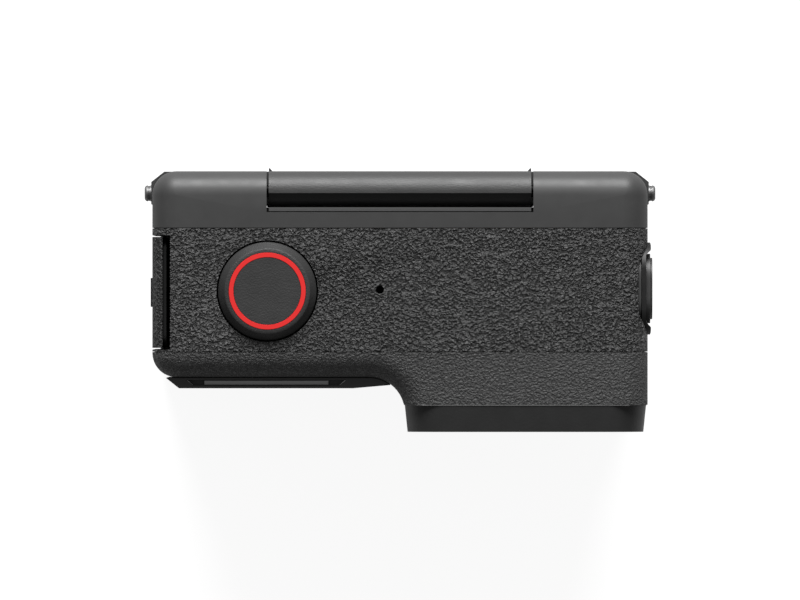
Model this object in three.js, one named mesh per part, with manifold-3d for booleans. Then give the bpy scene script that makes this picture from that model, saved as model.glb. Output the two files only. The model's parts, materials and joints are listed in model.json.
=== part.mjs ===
// A pocket action camera with a screen that flips up over its top edge.
// Millimetres. X runs across the body, Y from the lens side to the screen side, and Z up.
// The origin is the middle of the footprint. The lens looks along -Y, in front of the +X half.

import * as THREE from 'three';
import { mergeVertices } from 'three/addons/utils/BufferGeometryUtils.js';
import Module from 'manifold-3d';

const wasm = await Module();
wasm.setup();

// ---------------------------------------------------------------- driving dimensions

// Body
const bodyWidth = 71.9;
const bodyHeight = 50.95;
const edgeRadius = 3.5; // long edges and upright corners alike
const wall = 1.8;
const ribProud = 0.44; // the hinge arm's end ribs behind the rear face
const frameDepth = 8.26; // smooth rear frame
const bandDepth = 17.98; // grained middle band
const coverDepth = 3.66; // front cover, up to its flat face
const hoodDepth = 4.0; // lens block in front of that face
const ringDepth = 3.94; // lens guard in front of the block
const blendRadius = 5.2; // hollow sweep from the front face into the lens block
const seamGap = 0.1; // between casing shells
const fitGap = 0.3; // between pieces that seat on each other
const inlayGap = 0.06; // around a pressed-in ring
const bite = 0.2; // how far a joined block reaches into the wall that carries it
const past = 1; // how far a cut runs past the face that it opens
const sliver = 0.01; // keeps a rounded outline from closing on itself

// Lens block and lens
const hoodLeft = 0.7;
const hoodHeight = 35.4;
const ringTaper = 0.4;
const ringCorner = 5.5;
const ringSideGap = 0.2;
const glassRadius = 14.2;
const glassThickness = 1.4;
const glassDepth = 1.5; // behind the guard's front face
const windowChamfer = 0.8;
const windowFlare = 0.6; // how much wider the window is at the guard's face
const gasketInner = 13.2;
const gasketThickness = 0.65;
const windowRadius = 13.2;
const barrelRadius = 12.6;
const barrelTailRadius = 9.6;

// Front panel
const panelThickness = 1.52;
const panelLeftInset = 1.95; // from the body's side to the foot of the chamfer
const panelChamfer = 1.9;
const panelBottom = 4.2;
const panelTopGap = 0.25; // below the foot of the body's rounded top edge
const panelSlope = 0.47;
const panelSlopeRun = 5.4;
const slotLength = 23.2;
const slotInset = 1.1; // from the end of the panel's chamfer
const slotWidth = 0.8;
const slotDepth = 0.9;

// Flip screen and its hinge
const screenGap = 0.45; // in front of the screen
const screenDepth = 4.8;
const screenSideProud = 0.2;
const screenBottom = 2.0;
const hingeRadius = 2.85; // outside of the hinge arm
const hingeLength = 38.7;
const hingeClear = 0.3;
const barrelHingeRadius = 2.2;
const hingePinRadius = 0.9;
const pinSeat = 2.0; // pin length inside each side wall
const recessFront = 5.94; // hinge recess, from the rear face forward
const screenWall = 1.0;
const screenChamfer = 1.9;
const glassInset = 2.3;
const studRadius = 1.18;
const studLength = 1.22;
const studHeight = 24;

// Shutter button
const shutterInset = 16.71; // from the left side
const shutterY = 1.3;
const shutterTopRadius = 6.18;
const shutterFootRadius = 7.13;
const shutterGap = 0.24;
const shutterProud = 1.2;
const shutterTravel = 0.7;
const redRingOuter = 5.58;
const redRingInner = 4.9;
const redRingDepth = 0.45;
const stemRadius = 2.0;
const pocketDepth = 4.4;
const pocketFloor = 0.8;
const pocketWall = 1.2;
const switchStroke = 0.2; // free travel before a stem meets its switch
const topMicOffset = 16.34; // from the shutter button's axis
const topMicY = 1.5;
const soundHole = 0.6;

// Power button
const powerY = 1.67;
const powerDrop = 4.95; // its centre below the top face
const bezelLength = 13.4;
const bezelHeight = 8.2;
const bezelProud = 0.48;
const powerLength = 10.1;
const powerHeight = 7.4;
const powerProud = 0.68;
const powerTravel = 0.4;
const powerStemRadius = 1.2;
const powerPocketDepth = 1.95;
const powerPocketWall = 1;

// Battery door
const doorRear = 1.04; // from the band's rear edge
const doorFront = 0.34; // from the band's front edge
const doorRecess = 2.6;
const doorThickness = 1.5;
const doorEndGap = 0.25;
const doorPinRadius = 0.4;
const doorAxisInset = 1.05;
const doorAxisZ = 2.6;
const latchLength = 4.2;
const latchHeight = 5;
const latchProud = 0.3;
const latchTravel = 2.0;
const latchDrop = 8; // its upper end below the top face
const doorSill = 1.5; // room below the door's axis
const doorCorner = 0.6;
const doorPinSeat = 1.2; // pin length inside each neighbour

// Insides
const batteryLength = 30;
const bayWall = 0.6;
const boardThickness = 0.8;
const switchHeight = 1.0;
const usbHeight = 3.2;
const cardHeight = 3.1;
const socketSide = 0.69; // from the bay's side to the card socket
const postRadius = 1.5;
const floorThickness = 3.6; // where the base plate is let in

// Base
const baseLength = 34;
const baseDepth = 15;
const baseThickness = 1.2;
const magnetRadius = 4;
const screwInset = 2.6;
const screwHeadRadius = 1.4;
const screwRadius = 0.7;
const clawWidth = 5.2; // notch in each end of the plate, for a clip-on mount
const clawDepth = 1.4;
const clawRoom = 0.9; // beyond the plate's end, for the tip of the claw

// ---------------------------------------------------------------- derived places

const halfWidth = bodyWidth / 2;
const depth = ribProud + frameDepth + bandDepth + coverDepth + hoodDepth + ringDepth;
const ribY = depth / 2;
const rearY = ribY - ribProud;
const bandRearY = rearY - frameDepth;
const bandFrontY = bandRearY - bandDepth;
const coverY = bandFrontY - coverDepth;
const hoodY = coverY - hoodDepth;
const ringY = hoodY - ringDepth;

const screenInnerY = rearY - screenDepth;
const rearWallY = screenInnerY - screenGap;
const hingeY = rearY - hingeRadius;
const hingeZ = bodyHeight - hingeRadius;
const screenTop = hingeZ - hingeRadius - hingeClear;
const innerTop = bodyHeight - wall;
const hingeHalf = hingeLength / 2;

const hoodBottom = bodyHeight - hoodHeight;
const lensX = (hoodLeft + halfWidth - ringSideGap) / 2;
const lensZ = bodyHeight - hoodHeight / 2;

const shutterX = -halfWidth + shutterInset;
const stemTipZ = bodyHeight - pocketDepth - pocketFloor - 1.4;
const switchTopZ = stemTipZ - shutterTravel - switchStroke;
const bayTop = switchTopZ - switchHeight - fitGap;
const usbBottom = doorAxisZ + doorAxisInset + fitGap + 1.6;
const usbTop = usbBottom + usbHeight;
const socketTop = usbTop + fitGap + cardHeight;
const bayBottom = socketTop + fitGap;
const innerWallX = -halfWidth + doorRecess;
const bayLeft = innerWallX + wall + fitGap;
const bayFrontY = bandFrontY + 0.4;
const boardFrontY = bandRearY - 2.9;
const bayRearY = boardFrontY - 0.9;
const bayY = (bayFrontY + bayRearY) / 2;
const socketHalf = (bayRearY - bayFrontY) / 2 - socketSide;
const boardTop = bodyHeight - pocketDepth - pocketFloor - 1;
const panelTop = bodyHeight - edgeRadius - panelTopGap;
const topMicX = shutterX + topMicOffset;
const baseY = (bandFrontY + bandRearY) / 2;

const powerZ = bodyHeight - powerDrop;
const pocketFloorX = halfWidth - powerPocketDepth;

// ---------------------------------------------------------------- solids

// One closed surface as a solid that can be joined and cut.
function solid(geometry) {
  geometry.deleteAttribute('normal');
  geometry.deleteAttribute('uv');
  const merged = mergeVertices(geometry, 1e-4);
  const index = merged.index.array;
  const faces = [];
  for (let i = 0; i < index.length; i += 3) {
    const [a, b, c] = index.slice(i, i + 3);
    if (a !== b && b !== c && c !== a) faces.push(a, b, c);
  }
  const build = (triangles) => new wasm.Manifold(new wasm.Mesh({
    numProp: 3,
    vertProperties: merged.attributes.position.array,
    triVerts: new Uint32Array(triangles),
  }));
  const made = build(faces);
  return made.volume() < 0 ? build(faces.reverse()) : made;
}

// Turns a shape drawn in a plane, and pushed along local Z, towards the axis asked for.
const toAxis = {
  x: new THREE.Matrix4().makeBasis(
    new THREE.Vector3(0, 1, 0), new THREE.Vector3(0, 0, 1), new THREE.Vector3(1, 0, 0)),
  y: new THREE.Matrix4().makeBasis(
    new THREE.Vector3(1, 0, 0), new THREE.Vector3(0, 0, 1), new THREE.Vector3(0, -1, 0)),
  z: new THREE.Matrix4(),
};

// A prism of a shape: drawn in YZ for axis x, in XZ for y, in XY for z.
function prism(shape, axis, low, high, curveSegments = 6) {
  const geometry = new THREE.ExtrudeGeometry(shape, {
    depth: high - low, bevelEnabled: false, curveSegments,
  });
  geometry.applyMatrix4(toAxis[axis]);
  const along = { x: [low, 0, 0], y: [0, high, 0], z: [0, 0, low] }[axis];
  return solid(geometry.translate(...along));
}

// A prism along Z whose top and bottom edges are rounded.
function pillow(shape, low, high, radius, bevelSegments = 5) {
  const geometry = new THREE.ExtrudeGeometry(shape, {
    depth: high - low - 2 * radius, bevelEnabled: true, bevelThickness: radius,
    bevelSize: radius, bevelOffset: -radius, bevelSegments, curveSegments: 6,
  });
  return solid(geometry.translate(0, 0, low + radius));
}

function box(x0, x1, y0, y1, z0, z1) {
  const geometry = new THREE.BoxGeometry(x1 - x0, y1 - y0, z1 - z0);
  return solid(geometry.translate((x0 + x1) / 2, (y0 + y1) / 2, (z0 + z1) / 2));
}

// A turned piece about the axis through its own origin; the profile is [radius, along].
function turned(profile, axis, segments = 28) {
  const points = profile.map(([r, along]) => new THREE.Vector2(r, along));
  const geometry = new THREE.LatheGeometry(points, segments);
  if (axis === 'z') geometry.rotateX(Math.PI / 2);
  if (axis === 'x') geometry.rotateZ(-Math.PI / 2);
  return solid(geometry);
}

function rectangle(x0, x1, y0, y1, radius) {
  const shape = new THREE.Shape();
  const quarter = Math.PI / 2;
  shape.absarc(x1 - radius, y0 + radius, radius, -quarter, 0);
  shape.absarc(x1 - radius, y1 - radius, radius, 0, quarter);
  shape.absarc(x0 + radius, y1 - radius, radius, quarter, 2 * quarter);
  shape.absarc(x0 + radius, y0 + radius, radius, 2 * quarter, 3 * quarter);
  shape.closePath();
  return shape;
}

function polygon(points) {
  return new THREE.Shape(points.map(([x, y]) => new THREE.Vector2(x, y)));
}

function disc(x, y, radius) {
  return new THREE.Shape().absarc(x, y, radius, 0, 2 * Math.PI);
}

// A stadium: a slot outline with round ends along its first axis.
function stadium(x, y, length, height) {
  return rectangle(x - length / 2, x + length / 2, y - height / 2, y + height / 2,
    height / 2 - 0.001);
}

// A rectangular frame of one wall, drawn as an outline with a hole.
function ringOf(outer, inner) {
  outer.holes.push(inner);
  return outer;
}

// ---------------------------------------------------------------- assembly

const camera = new THREE.Group();

function piece(name, made, finish, parent = camera, place = [0, 0, 0]) {
  const { vertProperties, triVerts } = made.getMesh();
  const geometry = new THREE.BufferGeometry();
  geometry.setAttribute('position', new THREE.BufferAttribute(vertProperties, 3));
  geometry.setIndex(new THREE.BufferAttribute(triVerts, 1));
  geometry.computeVertexNormals();
  const mesh = new THREE.Mesh(geometry, finish());
  mesh.name = name;
  mesh.position.set(...place);
  parent.add(mesh);
  return mesh;
}

const finishOf = (color, roughness, metalness = 0) =>
  () => new THREE.MeshStandardMaterial({ color, roughness, metalness });

const finishes = {
  grained: finishOf(0x353535, 0.7),
  smooth: finishOf(0x404040, 0.5),
  fine: finishOf(0x3a3a3a, 0.6),
  gloss: finishOf(0x141414, 0.15),
  button: finishOf(0x3c3c3c, 0.55),
  red: finishOf(0xfe3c3b, 0.4),
  rubber: finishOf(0x1c1c1c, 0.85),
  steel: finishOf(0xb4b6b8, 0.35, 1),
  darkSteel: finishOf(0x6a6c6e, 0.4, 1),
  board: finishOf(0x1f4030, 0.6),
  copper: finishOf(0xb87346, 0.4, 1),
  glass: finishOf(0x10141a, 0.05),
  plastic: finishOf(0x24262a, 0.6),
  battery: finishOf(0x2b2e33, 0.5),
};

// ---------------------------------------------------------------- casing

// The body before it is parted into shells, with its lens block.
function bodySolid() {
  return pillow(rectangle(-halfWidth, halfWidth, coverY, rearY, edgeRadius), 0, bodyHeight,
    edgeRadius - sliver);
}

// Plan of the lens block, with the hollow sweep that joins it to the front face.
function hoodPlan() {
  const shape = new THREE.Shape();
  const sweepX = hoodLeft - blendRadius;
  const far = hoodY - 2 * edgeRadius;
  const rear = bandFrontY + 2 * edgeRadius;
  shape.moveTo(halfWidth, far);
  shape.lineTo(halfWidth, rear - edgeRadius);
  shape.absarc(halfWidth - edgeRadius, rear - edgeRadius, edgeRadius, 0, Math.PI / 2);
  shape.lineTo(sweepX - blendRadius, rear);
  shape.lineTo(sweepX - blendRadius, coverY);
  shape.absarc(sweepX, coverY - blendRadius, blendRadius, Math.PI / 2, 0, true);
  shape.lineTo(hoodLeft, far);
  shape.closePath();
  return shape;
}

const shellCavity = prism(
  rectangle(-halfWidth + wall, halfWidth - wall, wall, innerTop, edgeRadius - wall),
  'y', coverY + wall, rearWallY - wall);
const doorPinHole = prism(disc(-halfWidth + doorAxisInset, doorAxisZ, doorPinRadius + doorEndGap),
  'y', bandFrontY - doorPinSeat, bandRearY - doorRear + doorPinSeat);

function middleBand() {
  const half = seamGap / 2;
  const slab = box(-halfWidth, halfWidth, bandFrontY + half, bandRearY - half, 0, bodyHeight);
  let band = bodySolid().intersect(slab).subtract(shellCavity);

  // Wall behind the battery door, and the recess that the door closes.
  band = band.add(box(-halfWidth + wall - bite, innerWallX + wall, bandFrontY + half,
    bandRearY - half, wall - bite, innerTop + bite));
  band = band.subtract(prism(
    rectangle(bandFrontY + doorFront, bandRearY - doorRear, doorAxisZ - doorSill,
      bodyHeight + edgeRadius, doorCorner), 'x', -halfWidth - past, innerWallX));
  band = band.subtract(prism(
    rectangle(bayFrontY + bayWall, bayRearY - bayWall, usbBottom - 0.4, bayTop - bayWall, 1),
    'x', innerWallX - past, innerWallX + wall + past));
  band = band.subtract(doorPinHole);

  // Pocket under the shutter button.
  const pocketRadius = shutterFootRadius + shutterGap;
  const floorTop = bodyHeight - pocketDepth;
  band = band.add(prism(disc(shutterX, shutterY, pocketRadius + pocketWall), 'z',
    floorTop - pocketFloor, bodyHeight - wall / 2, 20).intersect(slab));
  band = band.subtract(prism(disc(shutterX, shutterY, pocketRadius), 'z',
    floorTop, bodyHeight + past, 24));
  band = band.subtract(prism(disc(shutterX, shutterY, stemRadius + fitGap), 'z',
    floorTop - pocketFloor - past, floorTop + past, 12));

  // Pocket for the power button.
  const pocketHalf = bezelLength / 2 + powerPocketWall;
  band = band.add(box(pocketFloorX - powerPocketWall - bite, halfWidth - wall + bite,
    powerY - pocketHalf, powerY + pocketHalf, powerZ - bezelHeight / 2 - powerPocketWall,
    innerTop + bite));
  band = band.subtract(prism(stadium(powerY, powerZ, bezelLength + 2 * seamGap,
    bezelHeight + 2 * seamGap), 'x', pocketFloorX, halfWidth + past));
  band = band.subtract(prism(disc(powerY, powerZ, powerStemRadius + fitGap), 'x',
    pocketFloorX - powerPocketWall - past, pocketFloorX + past));

  // Thick floor that takes the base plate, its magnet, its screws and a mount's two claws.
  const clawEnd = baseLength / 2 + clawRoom;
  band = band.add(box(-clawEnd - wall, clawEnd + wall, bandFrontY + half, bandRearY - half,
    wall - bite, floorThickness));
  band = band.subtract(prism(basePlan(fitGap / 2), 'z', -past, baseThickness + fitGap));
  band = band.subtract(box(-clawEnd, clawEnd, baseY - clawWidth / 2, baseY + clawWidth / 2,
    -past, baseThickness + fitGap));
  band = band.subtract(prism(disc(0, baseY, magnetRadius + fitGap), 'z', 0,
    floorThickness - bayWall, 12));
  for (const [x, y] of screwPlaces()) {
    band = band.subtract(prism(disc(x, y, screwRadius + bite), 'z', 0,
      floorThickness - fitGap, 6));
  }

  // Sound hole of the top microphone.
  return band.subtract(prism(disc(topMicX, topMicY, soundHole), 'z', innerTop - past,
    bodyHeight + past, 6));
}

function basePlan(grow = 0) {
  return rectangle(-baseLength / 2 - grow, baseLength / 2 + grow, baseY - baseDepth / 2 - grow,
    baseY + baseDepth / 2 + grow, 2 + grow);
}

function screwPlaces() {
  const x = baseLength / 2 - screwInset;
  const y = baseDepth / 2 - screwInset;
  return [[-x, baseY - y], [x, baseY - y], [-x, baseY + y], [x, baseY + y]];
}

function frontCover() {
  const reach = edgeRadius * 2;
  const slab = box(-halfWidth - 1, halfWidth + 1, hoodY, bandFrontY - seamGap / 2, -1,
    bodyHeight + 1);
  const block = pillow(hoodPlan(), hoodBottom, bodyHeight, edgeRadius - sliver);
  const bore = prism(disc(lensX, lensZ, barrelRadius + fitGap), 'y', hoodY - 1, reach, 16);
  return bodySolid().add(block).intersect(slab).subtract(shellCavity).subtract(bore)
    .subtract(doorPinHole);
}

function rearFrame() {
  const slab = box(-halfWidth, halfWidth, bandRearY + seamGap / 2, rearY, 0, bodyHeight);
  const roll = prism(disc(hingeY, hingeZ, hingeRadius + 0.07), 'x', -halfWidth - 1,
    halfWidth + 1, 16);
  const bay = box(-halfWidth - 1, halfWidth + 1, rearWallY, rearY + 1, -1,
    hingeZ - 0.9).subtract(roll);
  const recess = box(-hingeHalf, hingeHalf, rearY - recessFront, rearY + 1,
    screenTop - fitGap, bodyHeight + 1);
  const pinBore = prism(disc(hingeY, hingeZ, hingePinRadius + fitGap), 'x',
    -hingeHalf - pinSeat - fitGap, hingeHalf + pinSeat + fitGap, 8);
  let frame = bodySolid().intersect(slab).subtract(shellCavity).subtract(bay)
    .subtract(recess).subtract(pinBore);
  for (const [x, z] of boardPosts()) {
    frame = frame.add(prism(disc(x, z, postRadius), 'y', boardFrontY + boardThickness + fitGap,
      rearWallY - wall + bite, 6));
  }
  return frame;
}

function boardPosts() {
  const x = halfWidth - wall - 5.2;
  return [[-x, wall + 4], [x, wall + 4], [-x, boardTop - 2.4], [x, boardTop - 2.4]];
}

// Plan of the raised front panel: chamfered on the left, and run into the sweep on the right.
function panelPlan() {
  const left = -halfWidth + panelLeftInset;
  const back = coverY - seamGap;
  const front = coverY - seamGap - panelThickness;
  const sweepX = hoodLeft - blendRadius;
  const sweepY = coverY - blendRadius;
  const sweepR = blendRadius - seamGap;
  const tip = front + panelSlope;
  const tipAngle = Math.asin((tip - sweepY) / sweepR);
  const shape = new THREE.Shape();
  shape.moveTo(left, back);
  shape.lineTo(left + panelChamfer, front);
  shape.lineTo(sweepX + sweepR * Math.cos(tipAngle) - panelSlopeRun, front);
  shape.lineTo(sweepX + sweepR * Math.cos(tipAngle), tip);
  shape.absarc(sweepX, sweepY, sweepR, tipAngle, Math.PI / 2);
  shape.closePath();
  return shape;
}

const slotLeft = -halfWidth + panelLeftInset + panelChamfer + slotInset;
const slotRear = coverY - seamGap - (panelThickness - slotWidth) / 2 + 0.05;

function slotPlan(inset) {
  const front = slotRear - slotWidth;
  const lean = inset ? 0 : 1;
  return polygon([
    [slotLeft + inset, slotRear - inset * 0.04], [slotLeft + lean + inset, front + inset * 0.04],
    [slotLeft + slotLength - lean - inset, front + inset * 0.04],
    [slotLeft + slotLength - inset, slotRear - inset * 0.04],
  ]);
}

piece('middle_band', middleBand(), finishes.grained);
piece('front_cover', frontCover(), finishes.fine);
piece('rear_frame', rearFrame(), finishes.smooth);
piece('front_panel', prism(panelPlan(), 'z', panelBottom, panelTop)
  .subtract(prism(slotPlan(0), 'z', panelTop - slotDepth, panelTop + past)), finishes.smooth);
piece('slot_grille', prism(slotPlan(2.6), 'z', panelTop - slotDepth + seamGap,
  panelTop - slotDepth / 3), finishes.darkSteel);

// Gaskets inside the two seams of the casing.
function casingGasket(front, rear) {
  const at = (inset) => rectangle(-halfWidth + wall + inset, halfWidth - wall - inset,
    wall + inset, innerTop - inset, edgeRadius - wall - inset / 2);
  return prism(ringOf(at(0.2), at(1.0)), 'y', front, rear, 3);
}

piece('front_gasket', casingGasket(bandFrontY - 0.9, bandFrontY - 0.2), finishes.rubber);
piece('rear_gasket', casingGasket(bandRearY + 0.2, bandRearY + 0.9), finishes.rubber);

// ---------------------------------------------------------------- lens group

const lens = new THREE.Group();
lens.position.set(lensX, 0, lensZ);
camera.add(lens);

// The guard's outline narrows towards the front.
function lensGuard() {
  const half = (halfWidth - ringSideGap - hoodLeft) / 2;
  const high = hoodHeight / 2 - 0.1;
  const geometry = new THREE.ExtrudeGeometry(rectangle(-half, half, -high, high, ringCorner), {
    depth: 0.02, bevelEnabled: true, bevelThickness: ringDepth - seamGap, bevelSize: ringTaper,
    bevelOffset: -ringTaper, bevelSegments: 1, curveSegments: 10,
  });
  geometry.applyMatrix4(toAxis.y).translate(0, hoodY - seamGap, 0);
  const front = box(-bodyWidth, bodyWidth, ringY, hoodY - seamGap, -bodyHeight, bodyHeight);
  const seatY = ringY + glassDepth;
  const mouth = windowRadius + windowFlare * (1 + past / windowChamfer);
  const window = turned([[0, ringY - past], [mouth, ringY - past],
    [windowRadius, ringY + windowChamfer], [windowRadius, seatY + past], [0, seatY + past]],
  'y', 48);
  const seat = turned([[0, seatY], [glassRadius + fitGap, seatY],
    [glassRadius + fitGap, hoodY + past], [0, hoodY + past]], 'y', 48);
  return solid(geometry).intersect(front).subtract(window).subtract(seat);
}

const glassFront = ringY + glassDepth + seamGap;
const barrelFront = hoodY + 0.3;
const sensorY = boardFrontY - 2.2;
const barrelRear = sensorY - fitGap;

piece('lens_guard', lensGuard(), finishes.smooth, lens);
piece('lens_window', turned([[0, glassFront], [glassRadius, glassFront],
  [glassRadius, glassFront + glassThickness], [0, glassFront + glassThickness]], 'y', 48),
finishes.glass, lens);
const gasketFront = hoodY - seamGap - gasketThickness;
piece('lens_gasket', turned([[gasketInner, gasketFront], [glassRadius, gasketFront],
  [glassRadius, hoodY - seamGap], [gasketInner, hoodY - seamGap], [gasketInner, gasketFront]],
'y', 28), finishes.rubber, lens);

const glassSeats = [
  { name: 'lens_element_front', radius: 10.2, front: barrelFront + 0.6, thick: 2.8, dome: 1.6 },
  { name: 'lens_element_middle', radius: 6.2, front: barrelFront + 7.5, thick: 2.4, dome: 0.8 },
  { name: 'lens_element_rear', radius: 5.0, front: barrelFront + 13.5, thick: 2.6, dome: -0.6 },
];

function lensBarrel() {
  const [front, middle, rear] = glassSeats;
  const bore = [[0, barrelRear + 1], [rear.radius - 0.8, barrelRear + 1],
    [rear.radius - 0.8, rear.front + rear.thick + seamGap], [rear.radius + seamGap,
      rear.front + rear.thick + seamGap], [rear.radius + seamGap, rear.front - 2],
    [middle.radius - 0.8, rear.front - 2],
    [middle.radius - 0.8, middle.front + middle.thick + seamGap], [middle.radius + seamGap,
      middle.front + middle.thick + seamGap], [middle.radius + seamGap, middle.front - 2],
    [front.radius - 1.2, front.front + front.thick + seamGap], [front.radius + seamGap,
      front.front + front.thick + seamGap], [front.radius + seamGap, front.front],
    [front.radius + 1, barrelFront - 1], [0, barrelFront - 1]];
  const outside = [[0, barrelFront], [barrelRadius, barrelFront], [barrelRadius, coverY + 6],
    [barrelTailRadius, coverY + 8], [barrelTailRadius, barrelRear], [0, barrelRear]];
  return turned(outside, 'y', 32).subtract(turned(bore, 'y', 32));
}

piece('lens_barrel', lensBarrel(), finishes.gloss, lens);
for (const { name, radius, front, thick, dome } of glassSeats) {
  const rim = [];
  const steps = 4;
  for (let i = 0; i <= steps; i += 1) {
    const share = i / steps;
    rim.push([radius * share, front + Math.abs(dome) - dome * (1 - share * share)]);
  }
  const rear = front + thick;
  piece(name, turned([...rim, [radius, rear], [0, rear]], 'y', 28), finishes.glass, lens);
}
piece('image_sensor', box(-5.5, 5.5, sensorY, sensorY + 0.9, -4.4, 4.4), finishes.gloss, lens);
piece('sensor_board', box(-8.5, 8.5, sensorY + 1.0, sensorY + 1.0 + boardThickness, -8.5, 8.5),
  finishes.board, lens);

// ---------------------------------------------------------------- shutter button

const shutter = new THREE.Group();
shutter.position.set(shutterX, shutterY, bodyHeight);
camera.add(shutter);

const floorZ = -pocketDepth;
const capUnder = -2.0;
const grooveTop = floorZ - pocketFloor - 0.3;
const grooveBottom = grooveTop - 0.6;

function shutterCap() {
  const tip = stemTipZ - bodyHeight;
  const outside = [[0, tip], [stemRadius, tip], [stemRadius, grooveBottom],
    [stemRadius - 0.4, grooveBottom], [stemRadius - 0.4, grooveTop], [stemRadius, grooveTop],
    [stemRadius, capUnder], [shutterFootRadius, capUnder], [shutterFootRadius, -0.2],
    [shutterTopRadius + 0.12, shutterProud - 0.22], [shutterTopRadius - 0.1, shutterProud],
    [0, shutterProud]];
  const floor = shutterProud - redRingDepth - inlayGap;
  const inner = redRingInner - inlayGap;
  const outer = redRingOuter + inlayGap;
  const groove = [[inner, floor], [outer, floor], [outer, shutterProud + 1],
    [inner, shutterProud + 1], [inner, floor]];
  return turned(outside, 'z', 40).subtract(turned(groove, 'z', 40));
}

class Helix extends THREE.Curve {
  constructor(radius, low, high, turns) {
    super();
    Object.assign(this, { radius, low, high, turns });
  }

  getPoint(t, target = new THREE.Vector3()) {
    const angle = 2 * Math.PI * this.turns * t;
    return target.set(this.radius * Math.cos(angle), this.radius * Math.sin(angle),
      this.low + (this.high - this.low) * t);
  }
}

function spring(radius, wire, low, high, turns) {
  const path = new Helix(radius, low + wire, high - wire, turns);
  return solid(new THREE.ExtrudeGeometry(disc(0, 0, wire), {
    steps: 18 * turns, extrudePath: path, curveSegments: 3, bevelEnabled: false,
  }));
}

piece('shutter_cap', shutterCap(), finishes.button, shutter);
const ringLow = shutterProud - redRingDepth;
piece('shutter_ring', turned([[redRingInner, ringLow], [redRingOuter, ringLow],
  [redRingOuter, shutterProud], [redRingInner, shutterProud], [redRingInner, ringLow]],
'z', 40), finishes.red, shutter);
piece('shutter_spring', spring(5.2, 0.2, floorZ + 0.1, capUnder - shutterTravel - 0.3, 2),
  finishes.steel, shutter);
piece('shutter_seal', turned([[stemRadius + 0.4, floorZ + 0.1], [stemRadius + 1.2, floorZ + 0.1],
  [stemRadius + 1.3, floorZ + 0.5], [stemRadius + 1.2, floorZ + 0.9],
  [stemRadius + 0.4, floorZ + 0.9], [stemRadius + 0.3, floorZ + 0.5],
  [stemRadius + 0.4, floorZ + 0.1]], 'z', 24), finishes.rubber, shutter);
const clipInner = stemRadius - 0.4 + inlayGap;
piece('shutter_clip', turned([[clipInner, grooveBottom + 0.1], [stemRadius + 1.2,
  grooveBottom + 0.1], [stemRadius + 1.2, grooveTop - 0.1], [clipInner, grooveTop - 0.1],
[clipInner, grooveBottom + 0.1]], 'z', 24), finishes.steel, shutter);
piece('shutter_switch', box(-2.2, 2.2, -2.2, 2.2, -switchHeight, -0.4)
  .add(turned([[0, -0.6], [1.1, -0.6], [1.1, 0], [0, 0]], 'z', 16)), finishes.plastic, shutter,
[0, 0, switchTopZ - bodyHeight]);

// ---------------------------------------------------------------- power button

const bezelBack = pocketFloorX + 1.1;

// A dished ring that stands proud only past the two ends of its button.
function powerBezel() {
  const proud = halfWidth + bezelProud;
  const ring = prism(stadium(powerY, powerZ, bezelLength, bezelHeight), 'x', bezelBack, proud);
  const hole = prism(stadium(powerY, powerZ, powerLength + 2 * seamGap,
    powerHeight + 2 * seamGap), 'x', bezelBack - 1, proud + 1);
  const scoopHalf = powerLength / 2 + 0.4;
  const scoop = box(bezelBack + 0.5, proud + 1, powerY - scoopHalf, powerY + scoopHalf,
    powerZ - bezelHeight, powerZ + bezelHeight);
  return ring.subtract(hole).subtract(scoop);
}

function powerButton() {
  const face = halfWidth + powerProud;
  const cap = prism(stadium(powerY, powerZ, powerLength, powerHeight), 'x', bezelBack - 0.3,
    face - 0.3);
  const top = prism(stadium(powerY, powerZ, powerLength - 1.2, powerHeight - 1.2), 'x',
    face - 0.5, face);
  const flange = prism(stadium(powerY, powerZ, powerLength + 1.2, powerHeight + 0.6), 'x',
    bezelBack - 0.6, bezelBack - seamGap);
  const stem = prism(disc(powerY, powerZ, powerStemRadius), 'x', pocketFloorX - 1.7,
    bezelBack - 0.4);
  return cap.add(top).add(flange).add(stem);
}

piece('power_bezel', powerBezel(), finishes.plastic);
piece('power_button', powerButton(), finishes.smooth);
const powerSwitchX = pocketFloorX - 1.7 - powerTravel - 0.1;
piece('power_switch', box(powerSwitchX - switchHeight, powerSwitchX - 0.4, powerY - 2.2,
  powerY + 2.2, powerZ - 2.2, powerZ + 2.2)
  .add(prism(disc(powerY, powerZ, 1.1), 'x', powerSwitchX - 0.6, powerSwitchX, 4)),
finishes.plastic);

// ---------------------------------------------------------------- battery door

const doorLow = bandFrontY + doorFront + doorEndGap;
const doorHigh = bandRearY - doorRear - doorEndGap;
const doorInner = -halfWidth + doorThickness;
const doorAxisX = -halfWidth + doorAxisInset;
const latchTop = bodyHeight - latchDrop;
const latchY = (doorLow + doorHigh) / 2;
const latchPocket = 0.6;

function batteryDoor() {
  const leaf = bodySolid().intersect(box(-halfWidth, doorInner, doorLow, doorHigh, doorAxisZ,
    bodyHeight));
  const barrel = prism(disc(doorAxisX, doorAxisZ, doorAxisInset), 'y', doorLow, doorHigh);
  const pinHole = prism(disc(doorAxisX, doorAxisZ, doorPinRadius + 0.2), 'y', doorLow - 1,
    doorHigh + 1, 5);
  const pocket = box(-halfWidth - 1, -halfWidth + latchPocket, latchY - latchLength / 2 - 0.1,
    latchY + latchLength / 2 + 0.1, latchTop - latchHeight - latchTravel - 0.2, latchTop + 0.1);
  return leaf.add(barrel).subtract(pinHole).subtract(pocket);
}

function doorLatch() {
  const outer = -halfWidth - latchProud;
  let latch = box(outer, -halfWidth + latchPocket - seamGap, latchY - latchLength / 2,
    latchY + latchLength / 2, latchTop - latchHeight, latchTop);
  const ribs = 4;
  for (let i = 0; i < ribs; i += 1) {
    const z = latchTop - latchHeight * (i + 0.5) / ribs;
    latch = latch.subtract(box(outer - 1, outer + 0.15, latchY - latchLength,
      latchY + latchLength, z - 0.25, z + 0.25));
  }
  return latch;
}

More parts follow.
